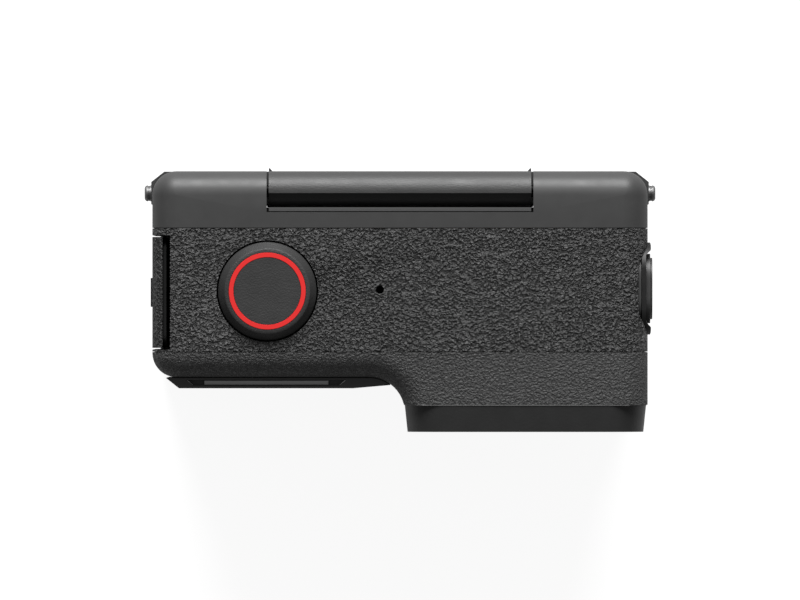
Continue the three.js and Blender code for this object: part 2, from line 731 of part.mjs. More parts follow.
piece('battery_door', batteryDoor(), finishes.grained);
piece('door_latch', doorLatch(), finishes.plastic);
piece('door_pin', prism(disc(doorAxisX, doorAxisZ, doorPinRadius), 'y', doorLow - doorPinSeat,
  doorHigh + doorPinSeat, 5), finishes.steel);
const gasketAt = (inset) => rectangle(doorLow + 0.3 + inset, doorHigh - 0.3 - inset,
  doorAxisZ + doorAxisInset + fitGap + inset, bodyHeight - 1.4 - inset, 1.5 - inset / 2);
piece('door_gasket', prism(ringOf(gasketAt(0), gasketAt(1)), 'x', doorInner + seamGap,
  doorInner + seamGap + 0.45, 4), finishes.rubber);

// ---------------------------------------------------------------- flip screen

const screenHalf = halfWidth + screenSideProud;
const trayRear = rearY - 0.04;

// Cross-section of the arm that carries the screen and wraps over the hinge barrel.
function armSection() {
  const corner = edgeRadius - 0.3;
  const inner = barrelHingeRadius + seamGap;
  const low = screenTop - 2;
  const start = rearY - 3.2;
  const shape = new THREE.Shape();
  const startAngle = Math.acos((start - rearY + corner) / corner);
  shape.moveTo(rearY, low);
  shape.lineTo(rearY, bodyHeight - corner);
  shape.absarc(rearY - corner, bodyHeight - corner, corner, 0, startAngle);
  const innerStart = Math.acos((start - hingeY) / inner);
  shape.absarc(hingeY, hingeZ, inner, innerStart, -Math.PI / 2.6, true);
  shape.lineTo(hingeY + 0.4, low);
  shape.closePath();
  return shape;
}

function screenTray() {
  const plan = polygon([[-screenHalf, screenInnerY], [screenHalf, screenInnerY],
    [screenHalf, trayRear - 1.5], [screenHalf - screenChamfer, trayRear],
    [-screenHalf + screenChamfer, trayRear], [-screenHalf, trayRear - 1.5]]);
  const room = box(-screenHalf + glassInset - 0.15, screenHalf - glassInset + 0.15,
    screenInnerY + screenWall, trayRear + 1, screenBottom + 1.4, screenTop - 1.4);
  const arm = prism(armSection(), 'x', -hingeHalf + fitGap, hingeHalf - fitGap, 10);
  let tray = prism(plan, 'z', screenBottom, screenTop).subtract(room).add(arm.subtract(room));
  for (const side of [-1, 1]) {
    const end = side * (hingeHalf - fitGap);
    const rib = polygon([[end, rearY - 0.5], [end, ribY], [end - side * 0.16, ribY],
      [end - side * 0.95, rearY - 0.5]]);
    tray = tray.add(prism(rib, 'z', screenTop - 1.2, screenTop + 0.15));
  }
  return tray;
}

const screenGlassBack = trayRear - 0.95;
const glassHalf = screenHalf - glassInset;
const glassLow = screenBottom + 1.55;
const glassHigh = screenTop - 1.55;

piece('screen_tray', screenTray(), finishes.grained);
piece('screen_panel', box(-glassHalf + 0.8, glassHalf - 0.8, screenInnerY + screenWall + 0.2,
  screenGlassBack - 0.15, glassLow + 0.8, glassHigh - 0.8), finishes.gloss);
piece('screen_glass', prism(rectangle(-glassHalf, glassHalf, glassLow, glassHigh, 0.6), 'y',
  screenGlassBack, trayRear, 4), finishes.glass);
piece('hinge_barrel', prism(disc(hingeY, hingeZ, barrelHingeRadius), 'x', -hingeHalf + fitGap,
  hingeHalf - fitGap, 12).subtract(prism(disc(hingeY, hingeZ, hingePinRadius + 0.2), 'x',
  -hingeHalf, hingeHalf, 8)), finishes.plastic);
piece('hinge_pin', prism(disc(hingeY, hingeZ, hingePinRadius), 'x', -hingeHalf - pinSeat,
  hingeHalf + pinSeat, 8), finishes.steel);
const recessWallY = rearY - recessFront;
piece('hinge_strip', prism(polygon([[recessWallY + 0.15, hingeZ - 0.9],
  [recessWallY + 0.26, hingeZ - 0.9], [recessWallY + 0.74, hingeZ - 1.9],
  [recessWallY + 0.74, screenTop - fitGap + seamGap],
  [recessWallY + 0.15, screenTop - fitGap + seamGap]]), 'x', -hingeHalf + fitGap,
hingeHalf - fitGap), finishes.steel);

// Ribbed studs on both sides of the screen, for lifting it with two fingers.
for (const [name, side] of [['stud_left', -1], ['stud_right', 1]]) {
  const foot = seamGap;
  const tip = studLength;
  const profile = [[0, foot], [1.55, foot], [1.55, foot + 0.12], [studRadius, foot + 0.12],
    [studRadius, tip - 0.4], [studRadius - 0.4, tip], [0, tip]];
  const stud = piece(name, turned(profile, 'x', 24), finishes.darkSteel, camera,
    [side * screenHalf, rearY - 3.1, studHeight]);
  if (side < 0) stud.rotation.z = Math.PI;
}

// ---------------------------------------------------------------- insides

const batteryFront = bayFrontY + bayWall + fitGap;
const batteryRear = bayRearY - bayWall - fitGap;
const batteryRight = bayLeft + batteryLength;

function batteryBay() {
  const outer = box(bayLeft, batteryRight + fitGap + bayWall, bayFrontY, bayRearY, bayBottom,
    bayTop);
  return outer.subtract(box(bayLeft - 1, batteryRight + fitGap, bayFrontY + bayWall,
    bayRearY - bayWall, bayBottom + bayWall, bayTop - bayWall));
}

piece('battery_bay', batteryBay(), finishes.plastic);
piece('battery', box(bayLeft - wall + 0.4, batteryRight - 0.7, batteryFront, batteryRear,
  bayBottom + bayWall + fitGap, bayTop - bayWall - fitGap), finishes.battery);
piece('battery_contacts', box(batteryRight - 0.5, batteryRight + 0.1, batteryFront + 2,
  batteryFront + 8, bayBottom + 3, bayBottom + 6), finishes.copper);
const usbHalf = 4.45;
const shell = 0.4;
piece('usb_socket', box(bayLeft, bayLeft + 7, bayY - usbHalf, bayY + usbHalf, usbBottom, usbTop)
  .subtract(box(bayLeft - past, bayLeft + 6, bayY - usbHalf + shell, bayY + usbHalf - shell,
    usbBottom + shell, usbTop - shell)), finishes.steel);
const cardLow = usbTop + fitGap;
const cardHalf = socketHalf - shell;
piece('card_socket', box(bayLeft, bayLeft + 15, bayY - socketHalf, bayY + socketHalf, cardLow,
  socketTop).subtract(box(bayLeft - past, bayLeft + 14, bayY - cardHalf, bayY + cardHalf,
  cardLow + shell, socketTop - shell)), finishes.steel);
piece('memory_card', box(bayLeft - 0.6, bayLeft + 13.8, bayY - cardHalf + fitGap,
  bayY + cardHalf - fitGap, cardLow + shell + bite, cardLow + shell + bite + 1),
finishes.gloss);

const boardHalf = halfWidth - wall - 3.2;
const boardRearY = boardFrontY + boardThickness;
piece('main_board', box(-boardHalf, boardHalf, boardFrontY, boardRearY,
  floorThickness + fitGap, boardTop), finishes.board);
const shieldTop = boardTop - 8.8;
piece('processor_shield', box(-18, 8, boardRearY + 0.2, boardRearY + 1.5, shieldTop - 24,
  shieldTop), finishes.steel);
piece('heat_spreader', box(-boardHalf + 6, boardHalf - 6, boardRearY + 1.7,
  boardRearY + 2.4, wall + 6, boardTop - 3), finishes.copper);
piece('speaker', box(6, 20, -5, boardFrontY - fitGap, floorThickness + fitGap,
  floorThickness + 6.6), finishes.plastic);
piece('top_microphone', box(topMicX - 1.8, topMicX + 1.8, topMicY - 1.4, topMicY + 1.4,
  innerTop - 1.4, innerTop - fitGap), finishes.steel);
piece('front_microphone', box(slotLeft + 10, slotLeft + 13.6, coverY + wall + fitGap,
  coverY + wall + 1.3, boardTop - 3, boardTop), finishes.steel);

// ---------------------------------------------------------------- base

function basePlate() {
  let plate = prism(basePlan(), 'z', 0, baseThickness);
  for (const side of [-1, 1]) {
    const end = side * baseLength / 2;
    plate = plate.subtract(box(end - clawDepth, end + clawDepth, baseY - clawWidth / 2,
      baseY + clawWidth / 2, -past, baseThickness + past));
  }
  const seatRadius = screwHeadRadius + bite;
  const holeRadius = screwRadius + bite;
  for (const [x, y] of screwPlaces()) {
    const seat = new THREE.CylinderGeometry(seatRadius, seatRadius, 1, 12);
    seat.rotateX(Math.PI / 2).translate(x, y, 0);
    const cone = new THREE.CylinderGeometry(holeRadius, seatRadius, 0.4, 12);
    cone.rotateX(Math.PI / 2).translate(x, y, 0.7 - sliver);
    plate = plate.subtract(solid(seat)).subtract(solid(cone))
      .subtract(prism(disc(x, y, holeRadius), 'z', 0, baseThickness + past, 6));
  }
  return plate;
}

piece('base_plate', basePlate(), finishes.darkSteel);
piece('base_magnet', turned([[0, baseThickness + 0.1], [magnetRadius, baseThickness + 0.1],
  [magnetRadius, baseThickness + 1.5], [0, baseThickness + 1.5]], 'z', 32), finishes.steel,
camera, [0, baseY, 0]);

// Countersunk screws with a hexagonal recess.
screwPlaces().forEach(([x, y], i) => {
  const tip = floorThickness - 2 * fitGap;
  const shank = turned([[0, 0.1], [screwHeadRadius, 0.1], [screwHeadRadius, 0.45],
    [screwRadius, 0.85], [screwRadius, tip], [0, tip]], 'z', 12);
  const drive = new THREE.CylinderGeometry(0.6, 0.6, 0.8, 6).rotateX(Math.PI / 2);
  piece(`base_screw_${i + 1}`, shank.subtract(solid(drive)), finishes.steel, camera, [x, y, 0]);
});

export default camera;
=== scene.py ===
"""Dresses a pocket action camera with a flip screen: finishes, rounded skins and fine parts.

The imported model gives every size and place. Each sub-assembly is a class that builds its
meshes and gives them their finishes; main() builds the classes in order.
"""

import json
import logging
import math
from collections.abc import Callable, Sequence
from dataclasses import dataclass
from enum import Enum

import bmesh
import bpy
from mathutils import Matrix, Vector

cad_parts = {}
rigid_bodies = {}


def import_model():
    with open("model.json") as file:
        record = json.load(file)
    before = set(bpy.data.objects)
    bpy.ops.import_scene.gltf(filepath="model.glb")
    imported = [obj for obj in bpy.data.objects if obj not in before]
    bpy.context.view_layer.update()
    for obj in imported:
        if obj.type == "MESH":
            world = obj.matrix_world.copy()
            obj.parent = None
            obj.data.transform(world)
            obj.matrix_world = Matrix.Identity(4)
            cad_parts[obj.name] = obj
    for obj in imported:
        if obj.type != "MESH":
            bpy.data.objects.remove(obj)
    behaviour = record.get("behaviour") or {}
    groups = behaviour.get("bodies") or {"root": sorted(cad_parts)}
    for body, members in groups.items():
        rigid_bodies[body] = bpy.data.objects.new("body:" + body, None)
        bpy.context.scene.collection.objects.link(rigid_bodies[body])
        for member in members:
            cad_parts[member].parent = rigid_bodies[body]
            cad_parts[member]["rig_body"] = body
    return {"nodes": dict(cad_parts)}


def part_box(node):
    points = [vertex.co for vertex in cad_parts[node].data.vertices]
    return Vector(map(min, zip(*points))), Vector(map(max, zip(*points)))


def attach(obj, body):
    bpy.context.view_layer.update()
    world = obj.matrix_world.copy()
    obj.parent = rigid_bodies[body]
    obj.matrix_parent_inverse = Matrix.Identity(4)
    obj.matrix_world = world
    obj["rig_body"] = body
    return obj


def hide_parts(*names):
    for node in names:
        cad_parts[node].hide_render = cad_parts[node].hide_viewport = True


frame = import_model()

log = logging.getLogger("camera")

MM = 0.001


class Slot(Enum):
    """The record's material slots that pieces of this camera take their finish from."""

    GRAINED = "grained_plastic"
    SMOOTH = "smooth_plastic"
    FINE = "fine_plastic"
    GUARD = "guard_paint"
    SHUTTER = "shutter_plastic"
    RED = "red_plastic"
    BLACK = "black_plastic"
    GLOSS = "gloss_black"
    RUBBER = "black_rubber"
    LENS = "lens_glass"
    SCREEN = "screen_glass"
    STEEL = "bright_steel"
    DARK_METAL = "dark_metal"
    COPPER = "copper_alloy"
    BOARD = "circuit_board"


class Axis(Enum):
    """The direction that a turned piece's axis runs in."""

    X = 0
    Y = 1
    Z = 2


# ---------------------------------------------------------------- shader nodes


def linear(colour: str) -> tuple[float, float, float, float]:
    """Turns an sRGB hex colour into linear light.

    Args:
        colour: Six hex digits, as "#4a4a4a".

    Returns:
        Red, green, blue and an alpha of 1, in linear light.
    """
    parts = [int(colour[i : i + 2], 16) / 255 for i in (1, 3, 5)]
    lit = [p / 12.92 if p <= 0.04045 else ((p + 0.055) / 1.055) ** 2.4 for p in parts]
    return lit[0], lit[1], lit[2], 1.0


def add(
    tree: bpy.types.NodeTree, kind: str, links: dict | None = None, **settings: object
) -> bpy.types.Node:
    """Adds one shader node.

    Args:
        tree: The material's node tree.
        kind: The node's type, without its "ShaderNode" start.
        links: Input name or number to another node's output, or to a plain value.
        settings: The node's own settings, by attribute name.

    Returns:
        The new node.
    """
    node = tree.nodes.new("ShaderNode" + kind)
    for key, value in settings.items():
        setattr(node, key, value)
    for key, value in (links or {}).items():
        if isinstance(value, bpy.types.NodeSocket):
            tree.links.new(value, node.inputs[key])
        else:
            node.inputs[key].default_value = value
    return node


@dataclass(frozen=True)
class Finish:
    """A plain moulded finish; the others add their own pattern to it."""

    name: str
    slot: Slot
    colour: str
    roughness: float
    metallic: float = 0.0
    specular: float = 0.5

    def material(self) -> bpy.types.Material:
        """Makes the material once and returns it from then on."""
        found = bpy.data.materials.get(self.name)
        if found:
            return found
        made = bpy.data.materials.new(self.name)
        made.use_nodes = True
        tree = made.node_tree
        shader = tree.nodes["Principled BSDF"]
        shader.inputs["Base Color"].default_value = linear(self.colour)
        shader.inputs["Roughness"].default_value = self.roughness
        shader.inputs["Metallic"].default_value = self.metallic
        if self.metallic < 0.5:
            shader.inputs["Specular IOR Level"].default_value = self.specular
        place = add(tree, "TexCoord").outputs["Object"]
        self.pattern(tree, shader, place)
        return made

    def pattern(
        self, tree: bpy.types.NodeTree, shader: bpy.types.Node, place: bpy.types.NodeSocket
    ) -> None:
        """Adds the surface's own texture to the shader.

        Args:
            tree: The material's node tree.
            shader: Its Principled shader.
            place: Object coordinates, in metres.
        """
        self.mottle(tree, shader, place, 1.5, 0.06, self.colour, self.colour)

    def mottle(
        self,
        tree: bpy.types.NodeTree,
        shader: bpy.types.Node,
        place: bpy.types.NodeSocket,
        patch_mm: float,
        spread: float,
        low: str,
        high: str,
    ) -> bpy.types.NodeSocket:
        """Varies colour and roughness softly, as handling and moulding do.

        Args:
            tree: The material's node tree.
            shader: Its Principled shader.
            place: Object coordinates, in metres.
            patch_mm: Size of one soft patch.
            spread: How far the roughness goes to each side of its value.
            low: The darker colour.
            high: The lighter colour.

        Returns:
            The noise that drives both, from 0 to 1.
        """
        noise = add(
            tree, "TexNoise", {"Vector": place, "Scale": 1 / (patch_mm * MM), "Detail": 3.0}
        ).outputs["Fac"]
        mixed = add(
            tree, "Mix", {"Factor": noise, 6: linear(low), 7: linear(high)},
            data_type="RGBA",
        )
        tree.links.new(mixed.outputs[2], shader.inputs["Base Color"])
        rough = add(
            tree,
            "MapRange",
            {
                "Value": noise,
                "From Min": 0.25,
                "From Max": 0.75,
                "To Min": self.roughness - spread,
                "To Max": self.roughness + spread,
            },
        )
        tree.links.new(rough.outputs[0], shader.inputs["Roughness"])
        return noise

    def bump(
        self,
        tree: bpy.types.NodeTree,
        shader: bpy.types.Node,
        height: bpy.types.NodeSocket,
        relief_mm: float,
    ) -> None:
        """Raises the surface by a height map.

        Args:
            tree: The material's node tree.
            shader: Its Principled shader.
            height: The height, from 0 to 1.
            relief_mm: The drawn height of 1, which may be more than the real one.
        """
        node = add(
            tree, "Bump", {"Height": height, "Distance": relief_mm * MM, "Strength": 1.0}
        )
        tree.links.new(node.outputs[0], shader.inputs["Normal"])


@dataclass(frozen=True)
class SparkTexture(Finish):
    """Moulded in a spark-eroded tool, which leaves a fine even sparkle."""

    grain_mm: float = 0.3
    relief_mm: float = 0.02
    dark: str = "#303030"

    def pattern(
        self, tree: bpy.types.NodeTree, shader: bpy.types.Node, place: bpy.types.NodeSocket
    ) -> None:
        """Adds a fine noise relief, and soft patches over it."""
        self.mottle(tree, shader, place, 2.5, 0.05, self.dark, self.colour)
        fine = add(
            tree,
            "TexNoise",
            {"Vector": place, "Scale": 1 / (self.grain_mm * MM), "Detail": 2.0, "Roughness": 0.6},
        ).outputs["Fac"]
        self.bump(tree, shader, fine, self.relief_mm)


@dataclass(frozen=True)
class LeatherGrain(Finish):
    """Moulded leather grain: short wormy ridges, with painted shade that darkens the valleys
    between them.
    """

    ridge_mm: float = 0.4
    relief_mm: float = 0.4
    painted_valley_shade: str = "#242424"

    def pattern(
        self, tree: bpy.types.NodeTree, shader: bpy.types.Node, place: bpy.types.NodeSocket
    ) -> None:
        """Adds ridges where a bent noise passes its middle value, with pores on them, and paints
        shade into the valleys.
        """
        worms = add(
            tree,
            "TexNoise",
            {
                "Vector": place,
                "Scale": 1 / (self.ridge_mm * MM),
                "Detail": 1.0,
                "Roughness": 0.35,
                "Distortion": 0.6,
            },
        ).outputs["Fac"]
        ridge = add(
            tree,
            "MapRange",
            {"Value": worms, "From Min": 0.32, "From Max": 0.68},
            interpolation_type="SMOOTHSTEP",
        ).outputs[0]
        pores = add(
            tree,
            "TexNoise",
            {"Vector": place, "Scale": 3.0 / (self.ridge_mm * MM), "Detail": 1.0},
        ).outputs["Fac"]
        height = add(
            tree, "Math", {0: pores, 1: 0.3, 2: ridge}, operation="MULTIPLY_ADD"
        ).outputs[0]
        # Painted shade: the valleys take a darker colour than the ridges.
        mixed = add(
            tree, "Mix", {"Factor": ridge, 6: linear(self.painted_valley_shade), 7: linear(self.colour)},
            data_type="RGBA",
        )
        tree.links.new(mixed.outputs[2], shader.inputs["Base Color"])
        rough = add(
            tree,
            "MapRange",
            {"Value": ridge, "To Min": self.roughness + 0.2, "To Max": self.roughness},
        )
        tree.links.new(rough.outputs[0], shader.inputs["Roughness"])
        self.bump(tree, shader, height, self.relief_mm)


@dataclass(frozen=True)
class BrushedMetal(Finish):
    """Metal with fine straight strokes along one axis."""

    along: Axis = Axis.X
    stroke_mm: float = 0.12
    dark: str = "#8c8e90"

    def pattern(
        self, tree: bpy.types.NodeTree, shader: bpy.types.Node, place: bpy.types.NodeSocket
    ) -> None:
        """Adds a noise stretched forty times along the strokes."""
        scale = [1 / (self.stroke_mm * MM)] * 3
        scale[self.along.value] /= 40
        stretched = add(
            tree, "VectorMath", {0: place, 1: tuple(scale)}, operation="MULTIPLY"
        ).outputs[0]
        strokes = add(
            tree, "TexNoise", {"Vector": stretched, "Scale": 1.0, "Detail": 3.0}
        ).outputs["Fac"]
        mixed = add(
            tree, "Mix", {"Factor": strokes, 6: linear(self.dark), 7: linear(self.colour)},
            data_type="RGBA",
        )
        tree.links.new(mixed.outputs[2], shader.inputs["Base Color"])
        rough = add(
            tree,
            "MapRange",
            {
                "Value": strokes,
                "To Min": self.roughness - 0.1,
                "To Max": self.roughness + 0.1,
            },
        )
        tree.links.new(rough.outputs[0], shader.inputs["Roughness"])
        self.bump(tree, shader, strokes, 0.006)


@dataclass(frozen=True)
class PunchedSheet(Finish):
    """A thin sheet with rows of small round holes, as over a microphone."""

    pitch_mm: float = 0.42

    def pattern(
        self, tree: bpy.types.NodeTree, shader: bpy.types.Node, place: bpy.types.NodeSocket
    ) -> None:
        """Adds round dents on an even grid, coloured near-black inside as painted shade."""
        holes = add(
            tree,
            "TexVoronoi",
            {"Vector": place, "Scale": 1 / (self.pitch_mm * MM), "Randomness": 0.0},
        ).outputs["Distance"]
        solid = add(
            tree,
            "MapRange",
            {"Value": holes, "From Min": 0.25, "From Max": 0.36},
            interpolation_type="SMOOTHSTEP",
        ).outputs[0]
        # Painted shade: the holes take a near-black colour.
        mixed = add(
            tree, "Mix", {"Factor": solid, 6: linear("#0c0c0c"), 7: linear(self.colour)},
            data_type="RGBA",
        )
        tree.links.new(mixed.outputs[2], shader.inputs["Base Color"])
        self.bump(tree, shader, solid, 0.05)


@dataclass(frozen=True)
class CoatedGlass(Finish):
    """Clear ground glass with a thin coating that tints its reflections."""

    film_nm: float = 380.0

    def material(self) -> bpy.types.Material:
        """Makes the clear shader, whose values are all constant."""
        found = bpy.data.materials.get(self.name)
        if found:
            return found
        made = super().material()
        shader = made.node_tree.nodes["Principled BSDF"]
        shader.inputs["Transmission Weight"].default_value = 1.0
        shader.inputs["IOR"].default_value = 1.52
        shader.inputs["Thin Film Thickness"].default_value = self.film_nm
        shader.inputs["Thin Film IOR"].default_value = 1.38
        return made

    def pattern(
        self, tree: bpy.types.NodeTree, shader: bpy.types.Node, place: bpy.types.NodeSocket
    ) -> None:
        """Adds the faintest cleaning haze to the roughness."""
        haze = add(
            tree, "TexNoise", {"Vector": place, "Scale": 1 / (4 * MM), "Detail": 4.0}
        ).outputs["Fac"]
        rough = add(
            tree,
            "MapRange",
            {"Value": haze, "From Min": 0.4, "To Min": self.roughness, "To Max": 0.05},
        )
        tree.links.new(rough.outputs[0], shader.inputs["Roughness"])


@dataclass(frozen=True)
class ScreenGlass(Finish):
    """Cover glass printed black at its border, with the dark display under the rest."""

    display: str = "#0d0f12"
    half_width_mm: float = 31.2
    low_mm: float = 5.6
    high_mm: float = 41.3

    def pattern(
        self, tree: bpy.types.NodeTree, shader: bpy.types.Node, place: bpy.types.NodeSocket
    ) -> None:
        """Mixes the display's tone in where the border's print leaves a window."""
        axes = add(tree, "SeparateXYZ", {0: place}).outputs
        across = add(tree, "Math", {0: axes["X"]}, operation="ABSOLUTE").outputs[0]
        inside = [
            add(tree, "Math", {0: across, 1: self.half_width_mm * MM}, operation="LESS_THAN"),
            add(tree, "Math", {0: axes["Z"], 1: self.low_mm * MM}, operation="GREATER_THAN"),
            add(tree, "Math", {0: axes["Z"], 1: self.high_mm * MM}, operation="LESS_THAN"),
        ]
        pair = add(
            tree, "Math", {0: inside[0].outputs[0], 1: inside[1].outputs[0]}, operation="MULTIPLY"
        )
        window = add(
            tree, "Math", {0: pair.outputs[0], 1: inside[2].outputs[0]}, operation="MULTIPLY"
        ).outputs[0]
        mixed = add(
            tree, "Mix", {"Factor": window, 6: linear(self.colour), 7: linear(self.display)},
            data_type="RGBA",
        )
        tree.links.new(mixed.outputs[2], shader.inputs["Base Color"])
        smudge = add(
            tree, "TexNoise", {"Vector": place, "Scale": 1 / (14 * MM), "Detail": 5.0}
        ).outputs["Fac"]
        rough = add(
            tree,
            "MapRange",
            {"Value": smudge, "From Min": 0.45, "From Max": 0.75, "To Min": self.roughness,
             "To Max": self.roughness + 0.08},
        )
        tree.links.new(rough.outputs[0], shader.inputs["Roughness"])


@dataclass(frozen=True)
class SolderMask(Finish):
    """A circuit board: green mask over copper tracks, seen as faint raised lines."""

    track_mm: float = 0.6

    def pattern(
        self, tree: bpy.types.NodeTree, shader: bpy.types.Node, place: bpy.types.NodeSocket
    ) -> None:
        """Adds square cells whose edges stand for tracks."""
        cells = add(
            tree,
            "TexVoronoi",
            {"Vector": place, "Scale": 1 / (3 * self.track_mm * MM), "Randomness": 0.7},
            distance="CHEBYCHEV",
        ).outputs["Distance"]
        wave = add(tree, "Math", {0: cells, 1: 9.0}, operation="MULTIPLY").outputs[0]
        lines = add(tree, "Math", {0: wave}, operation="SINE").outputs[0]
        tracks = add(
            tree, "MapRange", {"Value": lines, "From Min": 0.2, "From Max": 0.5}
        ).outputs[0]
        mixed = add(
            tree, "Mix", {"Factor": tracks, 6: linear(self.colour), 7: linear("#2f6b4a")},
            data_type="RGBA",
        )
        tree.links.new(mixed.outputs[2], shader.inputs["Base Color"])
        self.bump(tree, shader, tracks, 0.03)


# ---------------------------------------------------------------- finishes of this camera

# Where a real relief or grain is too fine to show from a few metres, it is drawn deeper and
# coarser. The leather grain most of all: a moulded one is hundredths of a millimetre deep.

# Elastomer moulded over the shell. Dull and dark, with wormy pebbles that sparkle at one side,
# and painted shade darkening the valleys between them.
GRAINED_GRIP = LeatherGrain(
    "overmoulded_leather_grain", Slot.GRAINED, "#545454", 0.4, painted_valley_shade="#2c2c2c"
)
# The same grain on the door, a shade darker and duller; the darker colour is painted shade, where
# the door's face turns to the side away from the light.
DOOR_GRAIN = LeatherGrain("door_grain_painted_shade", Slot.GRAINED, "#424242", 0.5, painted_valley_shade="#242424")
# Polycarbonate from a finely blasted tool. Its satin face gives one broad soft highlight.
SATIN_SHELL = SparkTexture(
    "blasted_polycarbonate", Slot.SMOOTH, "#4a4a4a", 0.46, grain_mm=0.16, relief_mm=0.004,
    dark="#464646",
)
# The same polymer from an etched tool: a shallow fine grain that sparkles evenly, with slight
# painted shade in its valleys.
ETCHED_SHELL = LeatherGrain(
    "etched_polycarbonate", Slot.FINE, "#4f4f4f", 0.48, ridge_mm=0.32, relief_mm=0.12,
    painted_valley_shade="#434343",
)
# The front panel and its slot, satin, painted a little lighter than the shell: painted light that
# makes up for the shade the panel lies in.
PANEL_SATIN = SparkTexture(
    "satin_front_panel", Slot.SMOOTH, "#565656", 0.45, grain_mm=0.2, relief_mm=0.01,
    dark="#505050",
)
# Elastomer arm over the hinge: satin with slight pores.
HINGE_COVER = SparkTexture(
    "pored_satin_polymer", Slot.SMOOTH, "#444444", 0.45, grain_mm=0.2, relief_mm=0.035,
    dark="#404040",
)
# Satin paint on die-cast aluminium: smooth, a little darker than the shell.
GUARD_PAINT = SparkTexture(
    "satin_painted_aluminium", Slot.GUARD, "#343434", 0.42, grain_mm=0.4, relief_mm=0.02,
    dark="#303030",
)
# Soft satin polymer of the large button.
BUTTON_SATIN = SparkTexture(
    "soft_satin_polymer", Slot.SHUTTER, "#414141", 0.5, grain_mm=0.24, relief_mm=0.06,
    dark="#393939",
)
# Coloured polymer ring, pressed in. Bright and even.
RED_POLYMER = Finish("red_moulded_polymer", Slot.RED, "#fe3c3b", 0.45, specular=0.2)
# Black glass-filled polymer, moulded, of small mechanical parts.
BLACK_POLYMER = SparkTexture(
    "black_glass_filled_polymer", Slot.BLACK, "#222222", 0.5, grain_mm=0.22, relief_mm=0.012,
    dark="#1a1a1a",
)
# The deep matt black inside a lens, which swallows stray light.
LENS_BLACK = SparkTexture(
    "matt_black_baffle_paint", Slot.GLOSS, "#0e0e0e", 0.6, grain_mm=0.25, relief_mm=0.02,
    dark="#080808", specular=0.3,
)
# Anodised and polished black rim.
GLOSS_RIM = Finish("polished_black_rim", Slot.GLOSS, "#101010", 0.15)
# Silicone seals: very dull, with a trace of dust.
SILICONE = SparkTexture(
    "black_silicone_rubber", Slot.RUBBER, "#242424", 0.85, grain_mm=0.4, relief_mm=0.01,
    dark="#161616", specular=0.3,
)
# Ground glass with a magenta-green antireflection coating.
LENS_GLASS = CoatedGlass("coated_optical_glass", Slot.LENS, "#ffffff", 0.0, film_nm=360.0)
# Hardened cover glass of the window, coated more lightly.
WINDOW_GLASS = CoatedGlass("hardened_window_glass", Slot.LENS, "#ffffff", 0.0, film_nm=280.0)
# Cover glass with black print behind it; a faint difference shows the display.
DISPLAY_GLASS = ScreenGlass("printed_cover_glass", Slot.SCREEN, "#050506", 0.06)
# Stainless steel, drawn or rolled, with fine strokes.
STEEL_X = BrushedMetal("brushed_stainless_steel", Slot.STEEL, "#b9bbbd", 0.35, 1.0)
# Polished steel of the hinge strip, whose flat land mirrors what is above it. Its colour is paler
# than the other steel: painted light that makes up for the shade in the hinge's slot.
STRIP_METAL = BrushedMetal(
    "polished_steel_strip", Slot.STEEL, "#d6d6d6", 0.1, 1.0, dark="#c4c4c4"
)
# Steel blackened by oxide, as pins in a hinge are: dark, with a slight sheen.
BLACK_OXIDE = BrushedMetal(
    "black_oxide_steel", Slot.DARK_METAL, "#262626", 0.45, 1.0, dark="#1a1a1a"
)
# The studs: turned aluminium, bead-blasted, so they catch light softly.
BLASTED = BrushedMetal(
    "bead_blasted_aluminium", Slot.DARK_METAL, "#9a9a9a", 0.5, 1.0, along=Axis.Y,
    dark="#828282",
)
# A pale frame in the seam between the lens block and its guard; its pale tone is a painted
# highlight, the thin bright line along the seam.
SEAM_HIGHLIGHT = Finish("pale_painted_seam_highlight", Slot.SMOOTH, "#8e8e8e", 0.5)
# White pieces at the slot's two ends, whose white is a painted glint.
GLINT_WHITE = Finish("white_painted_glint", Slot.SMOOTH, "#f4f4f4", 0.35)
# Grey anodised aluminium of the base plate.
ANODISED = BrushedMetal(
    "grey_anodised_aluminium", Slot.DARK_METAL, "#5c5d5f", 0.38, 1.0, along=Axis.Y,
    dark="#48494b",
)
# Etched steel sheet over the microphone. Its colour is painted paler than bare steel: painted
# light that makes up for the shade it lies in.
ETCHED_GRILLE = PunchedSheet("etched_steel_grille", Slot.DARK_METAL, "#cfcfcf", 0.5)
# Copper alloy, rolled: contacts and the heat spreader.
COPPER = BrushedMetal("rolled_copper", Slot.COPPER, "#c08457", 0.38, 1.0, dark="#9a6340")
# Green solder mask over copper tracks.
GREEN_BOARD = SolderMask("green_solder_mask", Slot.BOARD, "#16402c", 0.35)


# ---------------------------------------------------------------- mesh tools


def box_mm(node: str) -> tuple[Vector, Vector]:
    """The lowest and highest corner of a CAD node, in millimetres.

    Args:
        node: The CAD node's name.

    Returns:
        The two corners.
    """
    low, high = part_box(node)
    return low / MM, high / MM


def finished(
    name: str,
    bm: bmesh.types.BMesh,
    finishes: Sequence[Finish],
    body: str,
    smooth_deg: float = 30.0,
) -> bpy.types.Object:
    """Turns a bmesh into a finished piece that rides on a body.

    Args:
        name: The piece's name.
        bm: Its mesh in metres, in the camera's own frame. It is freed here.
        finishes: One finish per material number used in the mesh.
        body: The CAD body that it rides on.
        smooth_deg: Edges flatter than this are shaded smooth.

    Returns:
        The new object.
    """
    mesh = bpy.data.meshes.new(name)
    bm.to_mesh(mesh)
    bm.free()
    for finish in finishes:
        mesh.materials.append(finish.material())
    mesh.polygons.foreach_set("use_smooth", [True] * len(mesh.polygons))
    mesh.set_sharp_from_angle(angle=math.radians(smooth_deg))
    made = bpy.data.objects.new(name, mesh)
    bpy.context.scene.collection.objects.link(made)
    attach(made, body)
    log.info("%s: %d faces", name, len(mesh.polygons))
    return made


